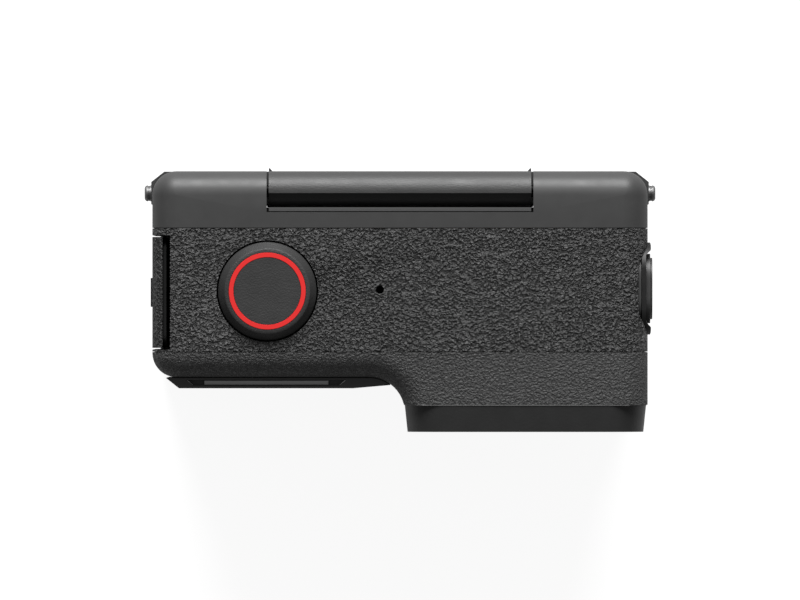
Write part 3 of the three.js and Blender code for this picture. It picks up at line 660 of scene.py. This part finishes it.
def round_edges(made: bpy.types.Object, width_mm: float, segments: int = 2) -> None:
    """Rounds a piece's sharp edges, as every moulded or machined edge is.

    Args:
        made: The piece.
        width_mm: Width of the rounded edge.
        segments: Facets across it.
    """
    bevel = made.modifiers.new("edge", "BEVEL")
    bevel.width = width_mm * MM
    bevel.segments = segments
    bevel.limit_method = "ANGLE"
    bevel.angle_limit = math.radians(32)
    bevel.harden_normals = True


def skin(
    node: str,
    finish: Finish,
    edge_mm: float = 0.08,
    inner: Finish | None = None,
    is_outside: Callable[[Vector, Vector], bool] | None = None,
) -> bpy.types.Object:
    """Makes a merged copy of a CAD node with rounded edges; it stands for that node.

    Args:
        node: The CAD node.
        finish: The finish of its outside.
        edge_mm: Width of its rounded edges.
        inner: Another finish for the faces that are not outside.
        is_outside: Says from a face's middle (mm) and normal whether it is outside.

    Returns:
        The new piece.
    """
    source = frame["nodes"][node]
    bm = bmesh.new()
    bm.from_mesh(source.data)
    bmesh.ops.remove_doubles(bm, verts=bm.verts, dist=0.002 * MM)
    bmesh.ops.dissolve_degenerate(bm, dist=0.001 * MM, edges=bm.edges)
    bmesh.ops.dissolve_limit(
        bm, angle_limit=math.radians(0.5), verts=bm.verts, edges=bm.edges
    )
    if inner and is_outside:
        for face in bm.faces:
            middle = face.calc_center_median() / MM
            face.material_index = 0 if is_outside(middle, face.normal) else 1
    finishes = [finish, inner] if inner else [finish]
    made = finished(node + "_skin", bm, finishes, source["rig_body"])
    if edge_mm:
        round_edges(made, edge_mm)
    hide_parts(node)
    return made


def dress(node: str, finish: Finish) -> None:
    """Gives a CAD node whose shape is right its material.

    Args:
        node: The CAD node.
        finish: Its finish.
    """
    piece = frame["nodes"][node]
    for place in piece.material_slots:
        place.material = finish.material()
    log.info("%s keeps its CAD mesh", node)


def extruded(bm: bmesh.types.BMesh) -> list[bmesh.types.BMVert]:
    """Extrudes all of a mesh's faces in place.

    Args:
        bm: The mesh.

    Returns:
        The new points, for the caller to move.
    """
    made = bmesh.ops.extrude_face_region(bm, geom=bm.faces[:])["geom"]
    return [part for part in made if isinstance(part, bmesh.types.BMVert)]


def rounded_block(
    name: str,
    size: Vector,
    middle: Vector,
    edge_mm: float,
    finish: Finish,
    body: str,
    lean: float = 0.0,
    segments: int = 2,
) -> bpy.types.Object:
    """Makes a block with bevelled edges.

    Args:
        name: The piece's name.
        size: Its size in mm.
        middle: Its middle in mm.
        edge_mm: Width of its bevelled edges.
        finish: Its finish.
        body: The CAD body that it rides on.
        lean: How far it shifts along X for each step along Y.
        segments: Facets across an edge.

    Returns:
        The new piece.
    """
    bm = bmesh.new()
    bmesh.ops.create_cube(bm, size=1.0)
    bmesh.ops.scale(bm, vec=size * MM, verts=bm.verts)
    for vert in bm.verts:
        vert.co.x += vert.co.y * lean
    bmesh.ops.bevel(
        bm, geom=bm.edges[:], offset=edge_mm * MM, segments=segments, profile=0.5,
        affect="EDGES", material=-1, clamp_overlap=True,
    )
    bmesh.ops.translate(bm, vec=middle * MM, verts=bm.verts)
    return finished(name, bm, [finish], body)


def flat_ring(
    outer_mm: tuple[float, float, float], inner_mm: tuple[float, float, float], steps: int = 96
) -> bmesh.types.BMesh:
    """Makes a flat ring between two rounded outlines in the XY plane.

    Args:
        outer_mm: Length along X, width and corner radius of the outer outline.
        inner_mm: The same of the inner one.
        steps: Points round each outline, a multiple of 4.

    Returns:
        The mesh, in metres.
    """
    bm = bmesh.new()
    for length, width, corner in (outer_mm, inner_mm):
        new = bmesh.ops.create_circle(bm, segments=steps, radius=corner * MM)["verts"]
        for vert in new:
            for i, side in ((0, length), (1, width)):
                if abs(vert.co[i]) > 1e-9:
                    vert.co[i] += math.copysign((side / 2 - corner) * MM, vert.co[i])
    bmesh.ops.bridge_loops(bm, edges=bm.edges[:])
    return bm


def turned(
    name: str,
    profile: Sequence[tuple[float, float]],
    centre: tuple[float, float, float],
    axis: Axis,
    finish: Finish,
    body: str,
    steps: int = 96,
    round_mm: float = 0.0,
) -> bpy.types.Object:
    """Spins a closed profile about an axis.

    Args:
        name: The piece's name.
        profile: Points as (radius, place along the axis) in mm, going once round.
        centre: A point on the axis, in mm.
        axis: The axis's direction.
        finish: Its finish.
        body: The CAD body that it rides on.
        steps: Facets round the axis.
        round_mm: Width of its rounded edges, or 0.

    Returns:
        The new piece.
    """
    bm = bmesh.new()
    line = [bm.verts.new((radius * MM, 0, along * MM)) for radius, along in profile]
    edges = [bm.edges.new(pair) for pair in zip(line, line[1:] + line[:1])]
    bmesh.ops.spin(
        bm, geom=line + edges, cent=(0, 0, 0), axis=(0, 0, 1), angle=2 * math.pi,
        steps=steps, use_merge=True,
    )
    bmesh.ops.remove_doubles(bm, verts=bm.verts, dist=0.001 * MM)
    bmesh.ops.dissolve_degenerate(bm, dist=0.0005 * MM, edges=bm.edges)
    bmesh.ops.recalc_face_normals(bm, faces=bm.faces)
    turn = {
        Axis.X: Matrix.Rotation(math.pi / 2, 4, "Y"),
        Axis.Y: Matrix.Rotation(-math.pi / 2, 4, "X"),
        Axis.Z: Matrix.Identity(4),
    }[axis]
    bmesh.ops.transform(bm, matrix=Matrix.Translation(Vector(centre) * MM) @ turn, verts=bm.verts)
    made = finished(name, bm, [finish], body)
    if round_mm:
        round_edges(made, round_mm, 3)
    return made


# ---------------------------------------------------------------- sub-assemblies


@dataclass
class Casing:
    """The three shells of the body, the raised front panel and its microphone slot.

    Attributes:
        edge_mm: Rounded edge of a shell at its seam.
        fine_edge_mm: The same where the seam closes tightly.
        corner_mm: Radius of the body's long edges.
        felt_radius_mm: Black felt under the top sound hole.
        end_gap_mm: From the grille's end to the middle of the white piece that paints the slot's
            glint.
        end_depth_mm: Depth of that piece.
        end_lean: How far it leans along X for each step along Y.
    """

    edge_mm: float = 0.09
    fine_edge_mm: float = 0.05
    corner_mm: float = 3.49
    felt_radius_mm: float = 1.0
    end_gap_mm: float = 2.1
    end_depth_mm: float = 0.3
    end_lean: float = 1.15

    def outside(self, middle: Vector, normal: Vector) -> bool:
        """Whether a face lies on the body's rounded outside.

        Args:
            middle: The face's middle, in mm.
            normal: Its normal.

        Returns:
            True on the outside.
        """
        low, high = box_mm("middle_band")
        half_x, half_z = high.x - self.corner_mm, (high.z - low.z) / 2 - self.corner_mm
        across = abs(middle.x) - half_x
        up = abs(middle.z - (low.z + high.z) / 2) - half_z
        past = math.hypot(max(across, 0), max(up, 0)) + min(max(across, up), 0)
        return past > self.corner_mm - 0.12 and abs(normal.y) < 0.7

    def build_shells(self) -> None:
        """Rounds and finishes the shells."""
        skin("middle_band", GRAINED_GRIP, self.edge_mm, BLACK_POLYMER, self.outside)
        skin("front_cover", ETCHED_SHELL, self.fine_edge_mm)
        skin("rear_frame", SATIN_SHELL, self.fine_edge_mm)

    def build_panel(self) -> None:
        """Finishes the front panel, the etched bar in its slot and the seals behind it."""
        skin("front_panel", PANEL_SATIN, self.fine_edge_mm)
        skin("slot_grille", ETCHED_GRILLE, 0.04)
        dress("front_gasket", SILICONE)
        dress("rear_gasket", SILICONE)

    def build_slot_ends(self) -> None:
        """Sets thin white pieces at the microphone slot's two ends, whose white paints the glints
        there.
        """
        low, high = box_mm("slot_grille")
        front, rear = low.y - 0.02, high.y + 0.06
        top = box_mm("front_panel")[1].z - 0.06
        ends = (("slot_end_left", -1, low.x, 0.1), ("slot_end_right", 1, high.x, 0.2))
        for name, side, near, thick in ends:
            size = Vector((thick, rear - front, self.end_depth_mm))
            foot = near + side * self.end_gap_mm
            middle = Vector((foot, (front + rear) / 2, top - self.end_depth_mm / 2))
            rounded_block(
                name, size, middle, 0.02, GLINT_WHITE, "camera", side * self.end_lean, 1
            )

    def build_felt(self) -> None:
        """Lays a thin black felt between the top sound hole and its microphone."""
        low, high = box_mm("top_microphone")
        centre = ((low.x + high.x) / 2, (low.y + high.y) / 2, high.z)
        radius = self.felt_radius_mm
        profile = [(0, 0.04), (radius, 0.04), (radius, 0.2), (0, 0.2)]
        turned("top_microphone_felt", profile, centre, Axis.Z, SILICONE, "camera", 48)

    def build(self) -> None:
        """Builds the whole casing."""
        self.build_shells()
        self.build_panel()
        self.build_slot_ends()
        self.build_felt()


@dataclass
class LensGroup:
    """The guard, its window, the blackened barrel and the coated elements behind it.

    Attributes:
        rings: Light-trapping steps between the window and the barrel.
        ring_step_mm: Width of one step.
        sag_mm: How far the front element's face bulges.
        arc_steps: Facets along a lens face.
        shim_mm: Thickness of the frame in the seam.
        shim_rim_mm: Width of its rim.
        shim_corner_mm: Radius of its corners.
    """

    rings: int = 5
    ring_step_mm: float = 0.34
    sag_mm: float = 1.6
    arc_steps: int = 14
    shim_mm: float = 0.09
    shim_rim_mm: float = 1.2
    shim_corner_mm: float = 3.6

    def centre(self) -> tuple[float, float]:
        """The lens axis's X and Z in mm, from the window."""
        low, high = box_mm("lens_window")
        return (low.x + high.x) / 2, (low.z + high.z) / 2

    def build_shim(self) -> None:
        """Makes the thin pale frame in the seam between the lens block and the guard, whose pale
        tone paints the seam's highlight.
        """
        low, high = box_mm("lens_guard")
        seam = (high.y + box_mm("front_cover")[0].y) / 2
        middle = (low + high) / 2
        width, height = high.x - low.x + 0.1, high.z - low.z + 0.17
        rim, corner = self.shim_rim_mm, self.shim_corner_mm
        bm = flat_ring(
            (width, height, corner), (width - 2 * rim, height - 2 * rim, corner - rim)
        )
        bmesh.ops.translate(bm, vec=Vector((0, 0, self.shim_mm * MM)), verts=extruded(bm))
        bmesh.ops.translate(bm, vec=Vector((0, 0, -self.shim_mm / 2 * MM)), verts=bm.verts)
        bmesh.ops.recalc_face_normals(bm, faces=bm.faces)
        turn = Matrix.Rotation(math.pi / 2, 4, "X")
        place = Matrix.Translation(Vector((middle.x, seam, middle.z)) * MM)
        bmesh.ops.transform(bm, matrix=place @ turn, verts=bm.verts)
        finished("guard_shim", bm, [SEAM_HIGHLIGHT], "camera")

    def build_window(self) -> None:
        """Spins the flat window with a ground chamfer round its edge."""
        low, high = box_mm("lens_window")
        x, z = self.centre()
        radius, thick, cut = (high.x - low.x) / 2, high.y - low.y, 0.25
        profile = [
            (0, 0), (radius - cut, 0), (radius, cut), (radius, thick - cut),
            (radius - cut, thick), (0, thick),
        ]
        made = turned(
            "lens_window_glass", profile, (x, low.y, z), Axis.Y, WINDOW_GLASS, "camera", 128
        )
        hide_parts("lens_window")

    def build_baffle(self) -> None:
        """Spins the stepped funnel that traps stray light in front of the barrel."""
        front = box_mm("lens_window")[1].y + 0.12
        rear = box_mm("lens_barrel")[0].y - 0.02
        outer = (box_mm("lens_gasket")[1].x - box_mm("lens_gasket")[0].x) / 2 - 1.1
        x, z = self.centre()
        rise = (rear - front) / self.rings
        profile = [(outer, front), (outer, rear)]
        radius, along = outer - self.rings * self.ring_step_mm, rear
        profile.append((radius, along))
        for _ in range(self.rings):
            along -= rise
            profile.append((radius, along))
            radius += self.ring_step_mm * 0.96
            profile.append((radius, along))
        turned(
            "lens_baffle", profile, (x, 0, z), Axis.Y, LENS_BLACK, "camera", 128, 0.03
        )

    def build_element(self, node: str, sag: float, rim_cut: float) -> None:
        """Spins one ground element with a smooth domed front.

        Args:
            node: The CAD node that it stands for.
            sag: How far its front bulges, or hollows if negative, in mm.
            rim_cut: Chamfer at its rear edge, in mm.
        """
        low, high = box_mm(node)
        x, z = self.centre()
        radius, rear = (high.x - low.x) / 2, high.y
        rim = low.y + max(sag, 0)
        shares = [i / self.arc_steps for i in range(self.arc_steps + 1)]
        profile = [(radius * s, rim - sag * (1 - s * s)) for s in shares]
        profile += [(radius, rear - rim_cut), (radius - rim_cut, rear), (0, rear)]
        made = turned(
            node + "_ground", profile, (x, 0, z), Axis.Y, LENS_GLASS, "camera", 96
        )
        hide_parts(node)

    def build(self) -> None:
        """Builds the whole lens group."""
        skin("lens_guard", GUARD_PAINT, 0.14)
        self.build_shim()
        self.build_window()
        dress("lens_gasket", SILICONE)
        self.build_baffle()
        skin("lens_barrel", LENS_BLACK, 0.06)
        self.build_element("lens_element_front", self.sag_mm, 0.15)
        self.build_element("lens_element_middle", 0.8, 0.12)
        self.build_element("lens_element_rear", -0.6, 0.12)
        dress("image_sensor", GLOSS_RIM)
        dress("sensor_board", GREEN_BOARD)


@dataclass
class ShutterButton:
    """The large button with its red ring, and what holds it.

    Attributes:
        stem_mm: Radius of its stem.
        top_radius_mm: Radius of its flat top.
        skirt_mm: Height of the foot below the body's top face.
        ring_gap_mm: Gap on each side of the red ring.
    """

    stem_mm: float = 2.0
    top_radius_mm: float = 6.08
    skirt_mm: float = 2.0
    ring_gap_mm: float = 0.05

    def build_cap(self) -> None:
        """Spins the cap: a sloped flank, a soft top edge and a groove for the ring."""
        low, high = box_mm("shutter_cap")
        ring_low, ring_high = box_mm("shutter_ring")
        face = box_mm("middle_band")[1].z
        foot, top = (high.x - low.x) / 2, high.z
        ring_out = (ring_high.x - ring_low.x) / 2 + self.ring_gap_mm
        ring_in = ring_out - 2 * self.ring_gap_mm - 0.68
        floor = ring_low.z - self.ring_gap_mm
        profile = [
            (0, low.z), (self.stem_mm, low.z), (self.stem_mm, face - 5.5 - 0.6),
            (self.stem_mm - 0.4, face - 6.1), (self.stem_mm - 0.4, face - 5.5),
            (self.stem_mm, face - 5.5), (self.stem_mm, face - self.skirt_mm),
            (foot, face - self.skirt_mm), (foot, face - 0.2), (foot - 0.1, face - 0.05),
            (self.top_radius_mm + 0.2, top - 0.26), (self.top_radius_mm + 0.12, top - 0.1),
            (self.top_radius_mm - 0.1, top), (ring_out, top), (ring_out, floor),
            (ring_in, floor), (ring_in, top), (0, top),
        ]
        centre = ((low.x + high.x) / 2, (low.y + high.y) / 2, 0)
        made = turned("shutter_cap_shell", profile, centre, Axis.Z, BUTTON_SATIN, "shutter", 128)
        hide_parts("shutter_cap")

    def build_ring(self) -> None:
        """Spins the red ring with softened edges."""
        low, high = box_mm("shutter_ring")
        outer, inner = (high.x - low.x) / 2, (high.x - low.x) / 2 - 0.68
        profile = [(inner, low.z), (outer, low.z), (outer, high.z), (inner, high.z)]
        centre = ((low.x + high.x) / 2, (low.y + high.y) / 2, 0)
        made = turned(
            "shutter_ring_inlay", profile, centre, Axis.Z, RED_POLYMER, "shutter", 128, 0.04
        )
        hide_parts("shutter_ring")

    def build(self) -> None:
        """Builds the whole button."""
        self.build_cap()
        self.build_ring()
        dress("shutter_spring", STEEL_X)
        dress("shutter_seal", SILICONE)
        dress("shutter_clip", STEEL_X)
        dress("shutter_switch", BLACK_POLYMER)


@dataclass
class PowerButton:
    """The oval side button in its dished bezel.

    Attributes:
        soft_mm: Rounded edge of the button.
        hole_mm: Length and height of the bezel's hole.
        rise_mm: Length over which an end of the bezel rises.
        overlap_mm: How far before the hole's end that rise begins.
        sunk_mm: How far the bezel's sides lie below the body's side.
    """

    soft_mm: float = 0.22
    hole_mm: tuple[float, float] = (10.3, 7.6)
    rise_mm: float = 0.9
    overlap_mm: float = 0.35
    sunk_mm: float = 0.25

    def build_bezel(self) -> None:
        """Makes a ring whose two ends rise in soft lobes and whose sides lie flush."""
        low, high = box_mm("power_bezel")
        middle = (low + high) / 2
        length, height = high.y - low.y, high.z - low.z
        hole = (*self.hole_mm, self.hole_mm[1] / 2)
        bm = flat_ring((length - 0.02, height - 0.02, height / 2 - 0.01), hole)
        bmesh.ops.subdivide_edges(
            bm, edges=[e for e in bm.edges if self.crosses(e)], cuts=3
        )
        flush = box_mm("middle_band")[1].x - self.sunk_mm - low.x
        proud = high.x - low.x - 0.01
        start = self.hole_mm[0] / 2 - self.overlap_mm
        for vert in extruded(bm):
            along = abs(vert.co.x) / MM
            share = min(max((along - start) / self.rise_mm, 0.0), 1.0)
            edge = abs(along - (start + length / 2) / 2) / (length / 2 - start)
            crown = max(0.0, 1 - (1.3 * edge) ** 4)
            lift = flush + (proud - flush) * share * share * (3 - 2 * share) * crown
            vert.co.z += lift * MM
        bmesh.ops.recalc_face_normals(bm, faces=bm.faces)
        # Local X, Y, Z go to the camera's Y, Z, X.
        turn = Matrix(((0, 0, 1, 0), (1, 0, 0, 0), (0, 1, 0, 0), (0, 0, 0, 1)))
        place = Matrix.Translation(Vector((low.x, middle.y, middle.z)) * MM)
        bmesh.ops.transform(bm, matrix=place @ turn, verts=bm.verts)
        made = finished("power_bezel_dished", bm, [BLACK_POLYMER], "camera", 50)
        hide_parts("power_bezel")

    def crosses(self, edge: bmesh.types.BMEdge) -> bool:
        """Whether an edge runs across the ring, from one oval to the other."""
        inner = [self.on_hole(vert.co) for vert in edge.verts]
        return inner[0] != inner[1]

    def on_hole(self, place: Vector) -> bool:
        """Whether a point lies on the inner oval."""
        length, height = self.hole_mm
        past = max(abs(place.x) / MM - (length - height) / 2, 0)
        return math.hypot(past, place.y / MM) < height / 2 + 0.05

    def build(self) -> None:
        """Builds the bezel and the button."""
        self.build_bezel()
        skin("power_button", SATIN_SHELL, self.soft_mm)
        dress("power_switch", BLACK_POLYMER)


@dataclass
class BatteryDoor:
    """The hinged door over the battery, with its latch, seal and pin.

    Attributes:
        edge_mm: Rounded edge of the door.
    """

    edge_mm: float = 0.12

    def build(self, casing: Casing) -> None:
        """Builds the door; its outside carries on the body's grain.

        Args:
            casing: The casing, whose outside the door continues.
        """
        skin("battery_door", DOOR_GRAIN, self.edge_mm, BLACK_POLYMER, casing.outside)
        skin("door_latch", BLACK_POLYMER, 0.05)
        dress("door_gasket", SILICONE)
        dress("door_pin", STEEL_X)


@dataclass
class FlipScreen:
    """The screen in its tray, the arm and hinge that carry it, and its lifting studs.

    Attributes:
        stud_mm: Radius of a stud.
        grooves: Grip grooves round a stud.
        seal_back_mm: From the hinge strip's front to the seal's.
        seal_depth_mm: Height of the seal.
    """

    stud_mm: float = 1.18
    grooves: int = 2
    seal_back_mm: float = 0.56
    seal_depth_mm: float = 1.3

    def build_stud(self, node: str, side: int) -> None:
        """Spins one stud with its collar, grip grooves and dished tip.

        Args:
            node: The CAD node that it stands for.
            side: 1 on the right and -1 on the left.
        """
        low, high = box_mm(node)
        foot, tip = (low.x, high.x) if side > 0 else (high.x, low.x)
        length, collar = abs(tip - foot), (high.z - low.z) / 2
        radius = self.stud_mm
        profile = [(0, 0), (collar, 0), (collar, 0.12), (radius, 0.12)]
        pitch = (length - 0.5) / (self.grooves + 1)
        for i in range(self.grooves):
            start = 0.12 + pitch * (i + 0.7)
            profile += [(radius, start), (radius - 0.1, start + 0.06),
                        (radius - 0.1, start + 0.14), (radius, start + 0.2)]
        profile += [(radius, length - 0.36), (radius - 0.12, length - 0.14),
                    (radius - 0.38, length), (0.35, length), (0.2, length - 0.08),
                    (0, length - 0.08)]
        points = [(r, foot + side * along) for r, along in profile]
        centre = (0, (low.y + high.y) / 2, (low.z + high.z) / 2)
        made = turned(node + "_turned", points, centre, Axis.X, BLASTED, "screen", 64)
        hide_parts(node)

    def build_seal(self) -> None:
        """Lays the silicone strip that closes the gap between the screen and the body."""
        wall = box_mm("hinge_strip")[0].y + self.seal_back_mm
        low, high = box_mm("screen_tray")[0], box_mm("hinge_strip")[1]
        half, top = high.x + 0.27, box_mm("hinge_strip")[0].z - 0.2
        size = Vector((2 * half, low.y - 0.08 - wall, self.seal_depth_mm))
        middle = Vector((0, wall + size.y / 2, top - size.z / 2))
        strip = rounded_block("hinge_seal", size, middle, 0.08, SILICONE, "camera")
        log.info("%s closes the gap", strip.name)

    def build_strip(self) -> None:
        """Makes the hinge strip with a polished flat land behind a narrow groove."""
        low, high = box_mm("hinge_strip")
        groove, land = high.z - 1.2, high.z - 0.78
        section = [
            (low.y, low.z), (low.y, high.z), (low.y + 0.04, high.z), (low.y + 0.08, groove),
            (low.y + 0.21, groove), (low.y + 0.24, land), (high.y - 0.03, land),
            (high.y, land - 0.03), (high.y, low.z),
        ]
        bm = bmesh.new()
        bm.faces.new([bm.verts.new(Vector((low.x, y, z)) * MM) for y, z in section])
        along = Vector((high.x - low.x, 0, 0)) * MM
        bmesh.ops.translate(bm, vec=along, verts=extruded(bm))
        bmesh.ops.recalc_face_normals(bm, faces=bm.faces)
        made = finished("hinge_strip_grooved", bm, [STRIP_METAL], "camera")
        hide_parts("hinge_strip")

    def build(self) -> None:
        """Builds the screen and its hinge."""
        self.build_seal()
        skin("screen_tray", HINGE_COVER, 0.1)
        dress("screen_panel", GLOSS_RIM)
        skin("screen_glass", DISPLAY_GLASS, 0.12)
        skin("hinge_barrel", BLACK_POLYMER, 0.05)
        self.build_strip()
        dress("hinge_pin", BLACK_OXIDE)
        self.build_stud("stud_left", -1)
        self.build_stud("stud_right", 1)


@dataclass
class Insides:
    """The battery, sockets, boards, microphones and speaker behind the shells.

    Attributes:
        tongue_mm: Width, depth and thickness of the tongue in the USB socket.
        pads: Contacts on each side of the tongue.
    """

    tongue_mm: tuple[float, float, float] = (6.4, 4.6, 0.7)
    pads: int = 8

    def build_tongue(self) -> None:
        """Makes the tongue and its row of contacts inside the USB socket."""
        low, high = box_mm("usb_socket")
        width, depth, thick = self.tongue_mm
        middle = Vector((high.x - 0.9 - depth / 2, (low.y + high.y) / 2, (low.z + high.z) / 2))
        size = Vector((depth, width, thick))
        rounded_block("usb_tongue", size, middle, 0.12, BLACK_POLYMER, "camera")
        bm = bmesh.new()
        pitch = (width - 0.8) / self.pads
        for i in range(self.pads):
            across = (i - (self.pads - 1) / 2) * pitch
            for face in (-1, 1):
                new = bmesh.ops.create_cube(bm, size=1.0)["verts"]
                bmesh.ops.scale(
                    bm, vec=Vector((depth * 0.7, pitch * 0.5, 0.05)) * MM, verts=new
                )
                place = middle + Vector((-0.4, across, face * (thick / 2 + 0.02)))
                bmesh.ops.translate(bm, vec=place * MM, verts=new)
        finished("usb_contacts", bm, [COPPER], "camera")

    def build(self) -> None:
        """Finishes every inner piece."""
        self.build_tongue()
        skin("battery", BLACK_POLYMER, 0.5)
        for node in ("battery_bay", "speaker"):
            dress(node, BLACK_POLYMER)
        for node in (
            "usb_socket", "card_socket", "processor_shield", "top_microphone",
            "front_microphone",
        ):
            dress(node, STEEL_X)
        for node in ("battery_contacts", "heat_spreader"):
            dress(node, COPPER)
        skin("memory_card", GLOSS_RIM, 0.15)
        dress("main_board", GREEN_BOARD)


@dataclass
class Base:
    """The let-in base plate, its screws and the magnet above it.

    Attributes:
        edge_mm: Rounded edge of the plate.
    """

    edge_mm: float = 0.12

    def build(self) -> None:
        """Builds the base."""
        skin("base_plate", ANODISED, self.edge_mm)
        dress("base_magnet", STEEL_X)
        for number in range(1, 5):
            skin(f"base_screw_{number}", STEEL_X, 0.05)


# ---------------------------------------------------------------- stage


@dataclass
class Studio:
    """A pale floor, one large soft light behind the camera's screen, and even fill.

    Attributes:
        floor_m: Half the floor's side.
        key_m: Width and height of the soft light.
        key_distance_m: Its distance from the object.
        key_elevation_deg: Its height over the horizon.
        key_watts: Its power.
        ambient: Strength of the even light from all round.
        backdrop: How much of the floor's white is its own to the eye.
        mirrored: The share of that which reflections and glass show.
        lens_mm: Focal length of the viewing lens.
        frame_m: Width of what it sees at the top face.
    """

    floor_m: float = 6.0
    key_m: tuple[float, float] = (0.65, 0.5)
    key_distance_m: float = 0.9
    key_elevation_deg: float = 28.0
    key_watts: float = 12.4
    ambient: float = 0.15
    backdrop: float = 0.9
    mirrored: float = 0.27
    lens_mm: float = 900.0
    frame_m: float = 0.116

    def build_floor(self) -> None:
        """Lays the floor, whose paper is white to the eye and keeps the shadow."""
        bm = bmesh.new()
        bmesh.ops.create_grid(bm, x_segments=1, y_segments=1, size=self.floor_m)
        bmesh.ops.translate(bm, vec=(0, 0, -0.05 * MM), verts=bm.verts)
        mesh = bpy.data.meshes.new("studio_floor")
        bm.to_mesh(mesh)
        bm.free()
        paper = bpy.data.materials.new("white_seamless_paper")
        paper.use_nodes = True
        tree = paper.node_tree
        shader = tree.nodes["Principled BSDF"]
        shader.inputs["Base Color"].default_value = linear("#a8a8a8")
        shader.inputs["Roughness"].default_value = 0.9
        shader.inputs["Specular IOR Level"].default_value = 0.1
        shader.inputs["Emission Color"].default_value = (1, 1, 1, 1)
        path = add(tree, "LightPath").outputs
        turned_back = add(
            tree, "Math", {0: path["Is Glossy Ray"], 1: path["Is Transmission Ray"]},
            operation="MAXIMUM",
        ).outputs[0]
        seen = add(
            tree, "Math",
            {0: turned_back, 1: self.mirrored, 2: path["Is Camera Ray"]},
            operation="MULTIPLY_ADD", use_clamp=True,
        ).outputs[0]
        own = add(tree, "Math", {0: seen, 1: self.backdrop}, operation="MULTIPLY").outputs[0]
        tree.links.new(own, shader.inputs["Emission Strength"])
        mesh.materials.append(paper)
        floor = bpy.data.objects.new("studio_floor", mesh)
        bpy.context.scene.collection.objects.link(floor)

    def build_lights(self) -> None:
        """Hangs the soft light and sets the even fill."""
        data = bpy.data.lights.new("soft_light", "AREA")
        data.shape = "RECTANGLE"
        data.size, data.size_y = self.key_m
        data.energy = self.key_watts
        lamp = bpy.data.objects.new("soft_light", data)
        up = math.radians(self.key_elevation_deg)
        place = Vector((0, math.cos(up), math.sin(up))) * self.key_distance_m
        lamp.location = place + Vector((0, 0, 0.04))
        lamp.rotation_euler = (-place).to_track_quat("-Z", "Y").to_euler()
        bpy.context.scene.collection.objects.link(lamp)
        world = bpy.data.worlds.new("even_fill")
        world.use_nodes = True
        back = world.node_tree.nodes["Background"]
        back.inputs["Color"].default_value = (1, 1, 1, 1)
        path = add(world.node_tree, "LightPath").outputs
        share = add(
            world.node_tree, "MapRange",
            {"Value": path["Is Camera Ray"], "To Min": self.ambient, "To Max": 1.0},
        ).outputs[0]
        world.node_tree.links.new(share, back.inputs["Strength"])
        bpy.context.scene.world = world

    def build_camera(self) -> None:
        """Sets the viewing camera straight above the top face."""
        data = bpy.data.cameras.new("viewing_camera")
        data.lens = self.lens_mm
        data.clip_end = 20.0
        camera = bpy.data.objects.new("viewing_camera", data)
        away = self.frame_m * self.lens_mm / data.sensor_width
        camera.location = (0, 0, box_mm("middle_band")[1].z * MM + away)
        bpy.context.scene.collection.objects.link(camera)
        bpy.context.scene.camera = camera

    def build(self) -> None:
        """Builds floor, lights and camera, and keeps the plain colour transform."""
        self.build_floor()
        self.build_lights()
        self.build_camera()
        bpy.context.scene.view_settings.view_transform = "Standard"


def main() -> None:
    """Builds the camera's sub-assemblies in order, then the studio."""
    logging.basicConfig(level=logging.INFO, format="%(name)s: %(message)s")
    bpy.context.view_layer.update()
    casing = Casing()
    casing.build()
    LensGroup().build()
    ShutterButton().build()
    PowerButton().build()
    BatteryDoor().build(casing)
    FlipScreen().build()
    Insides().build()
    Base().build()
    Studio().build()
    log.info("all pieces built")


if __name__ == "__main__":
    main()
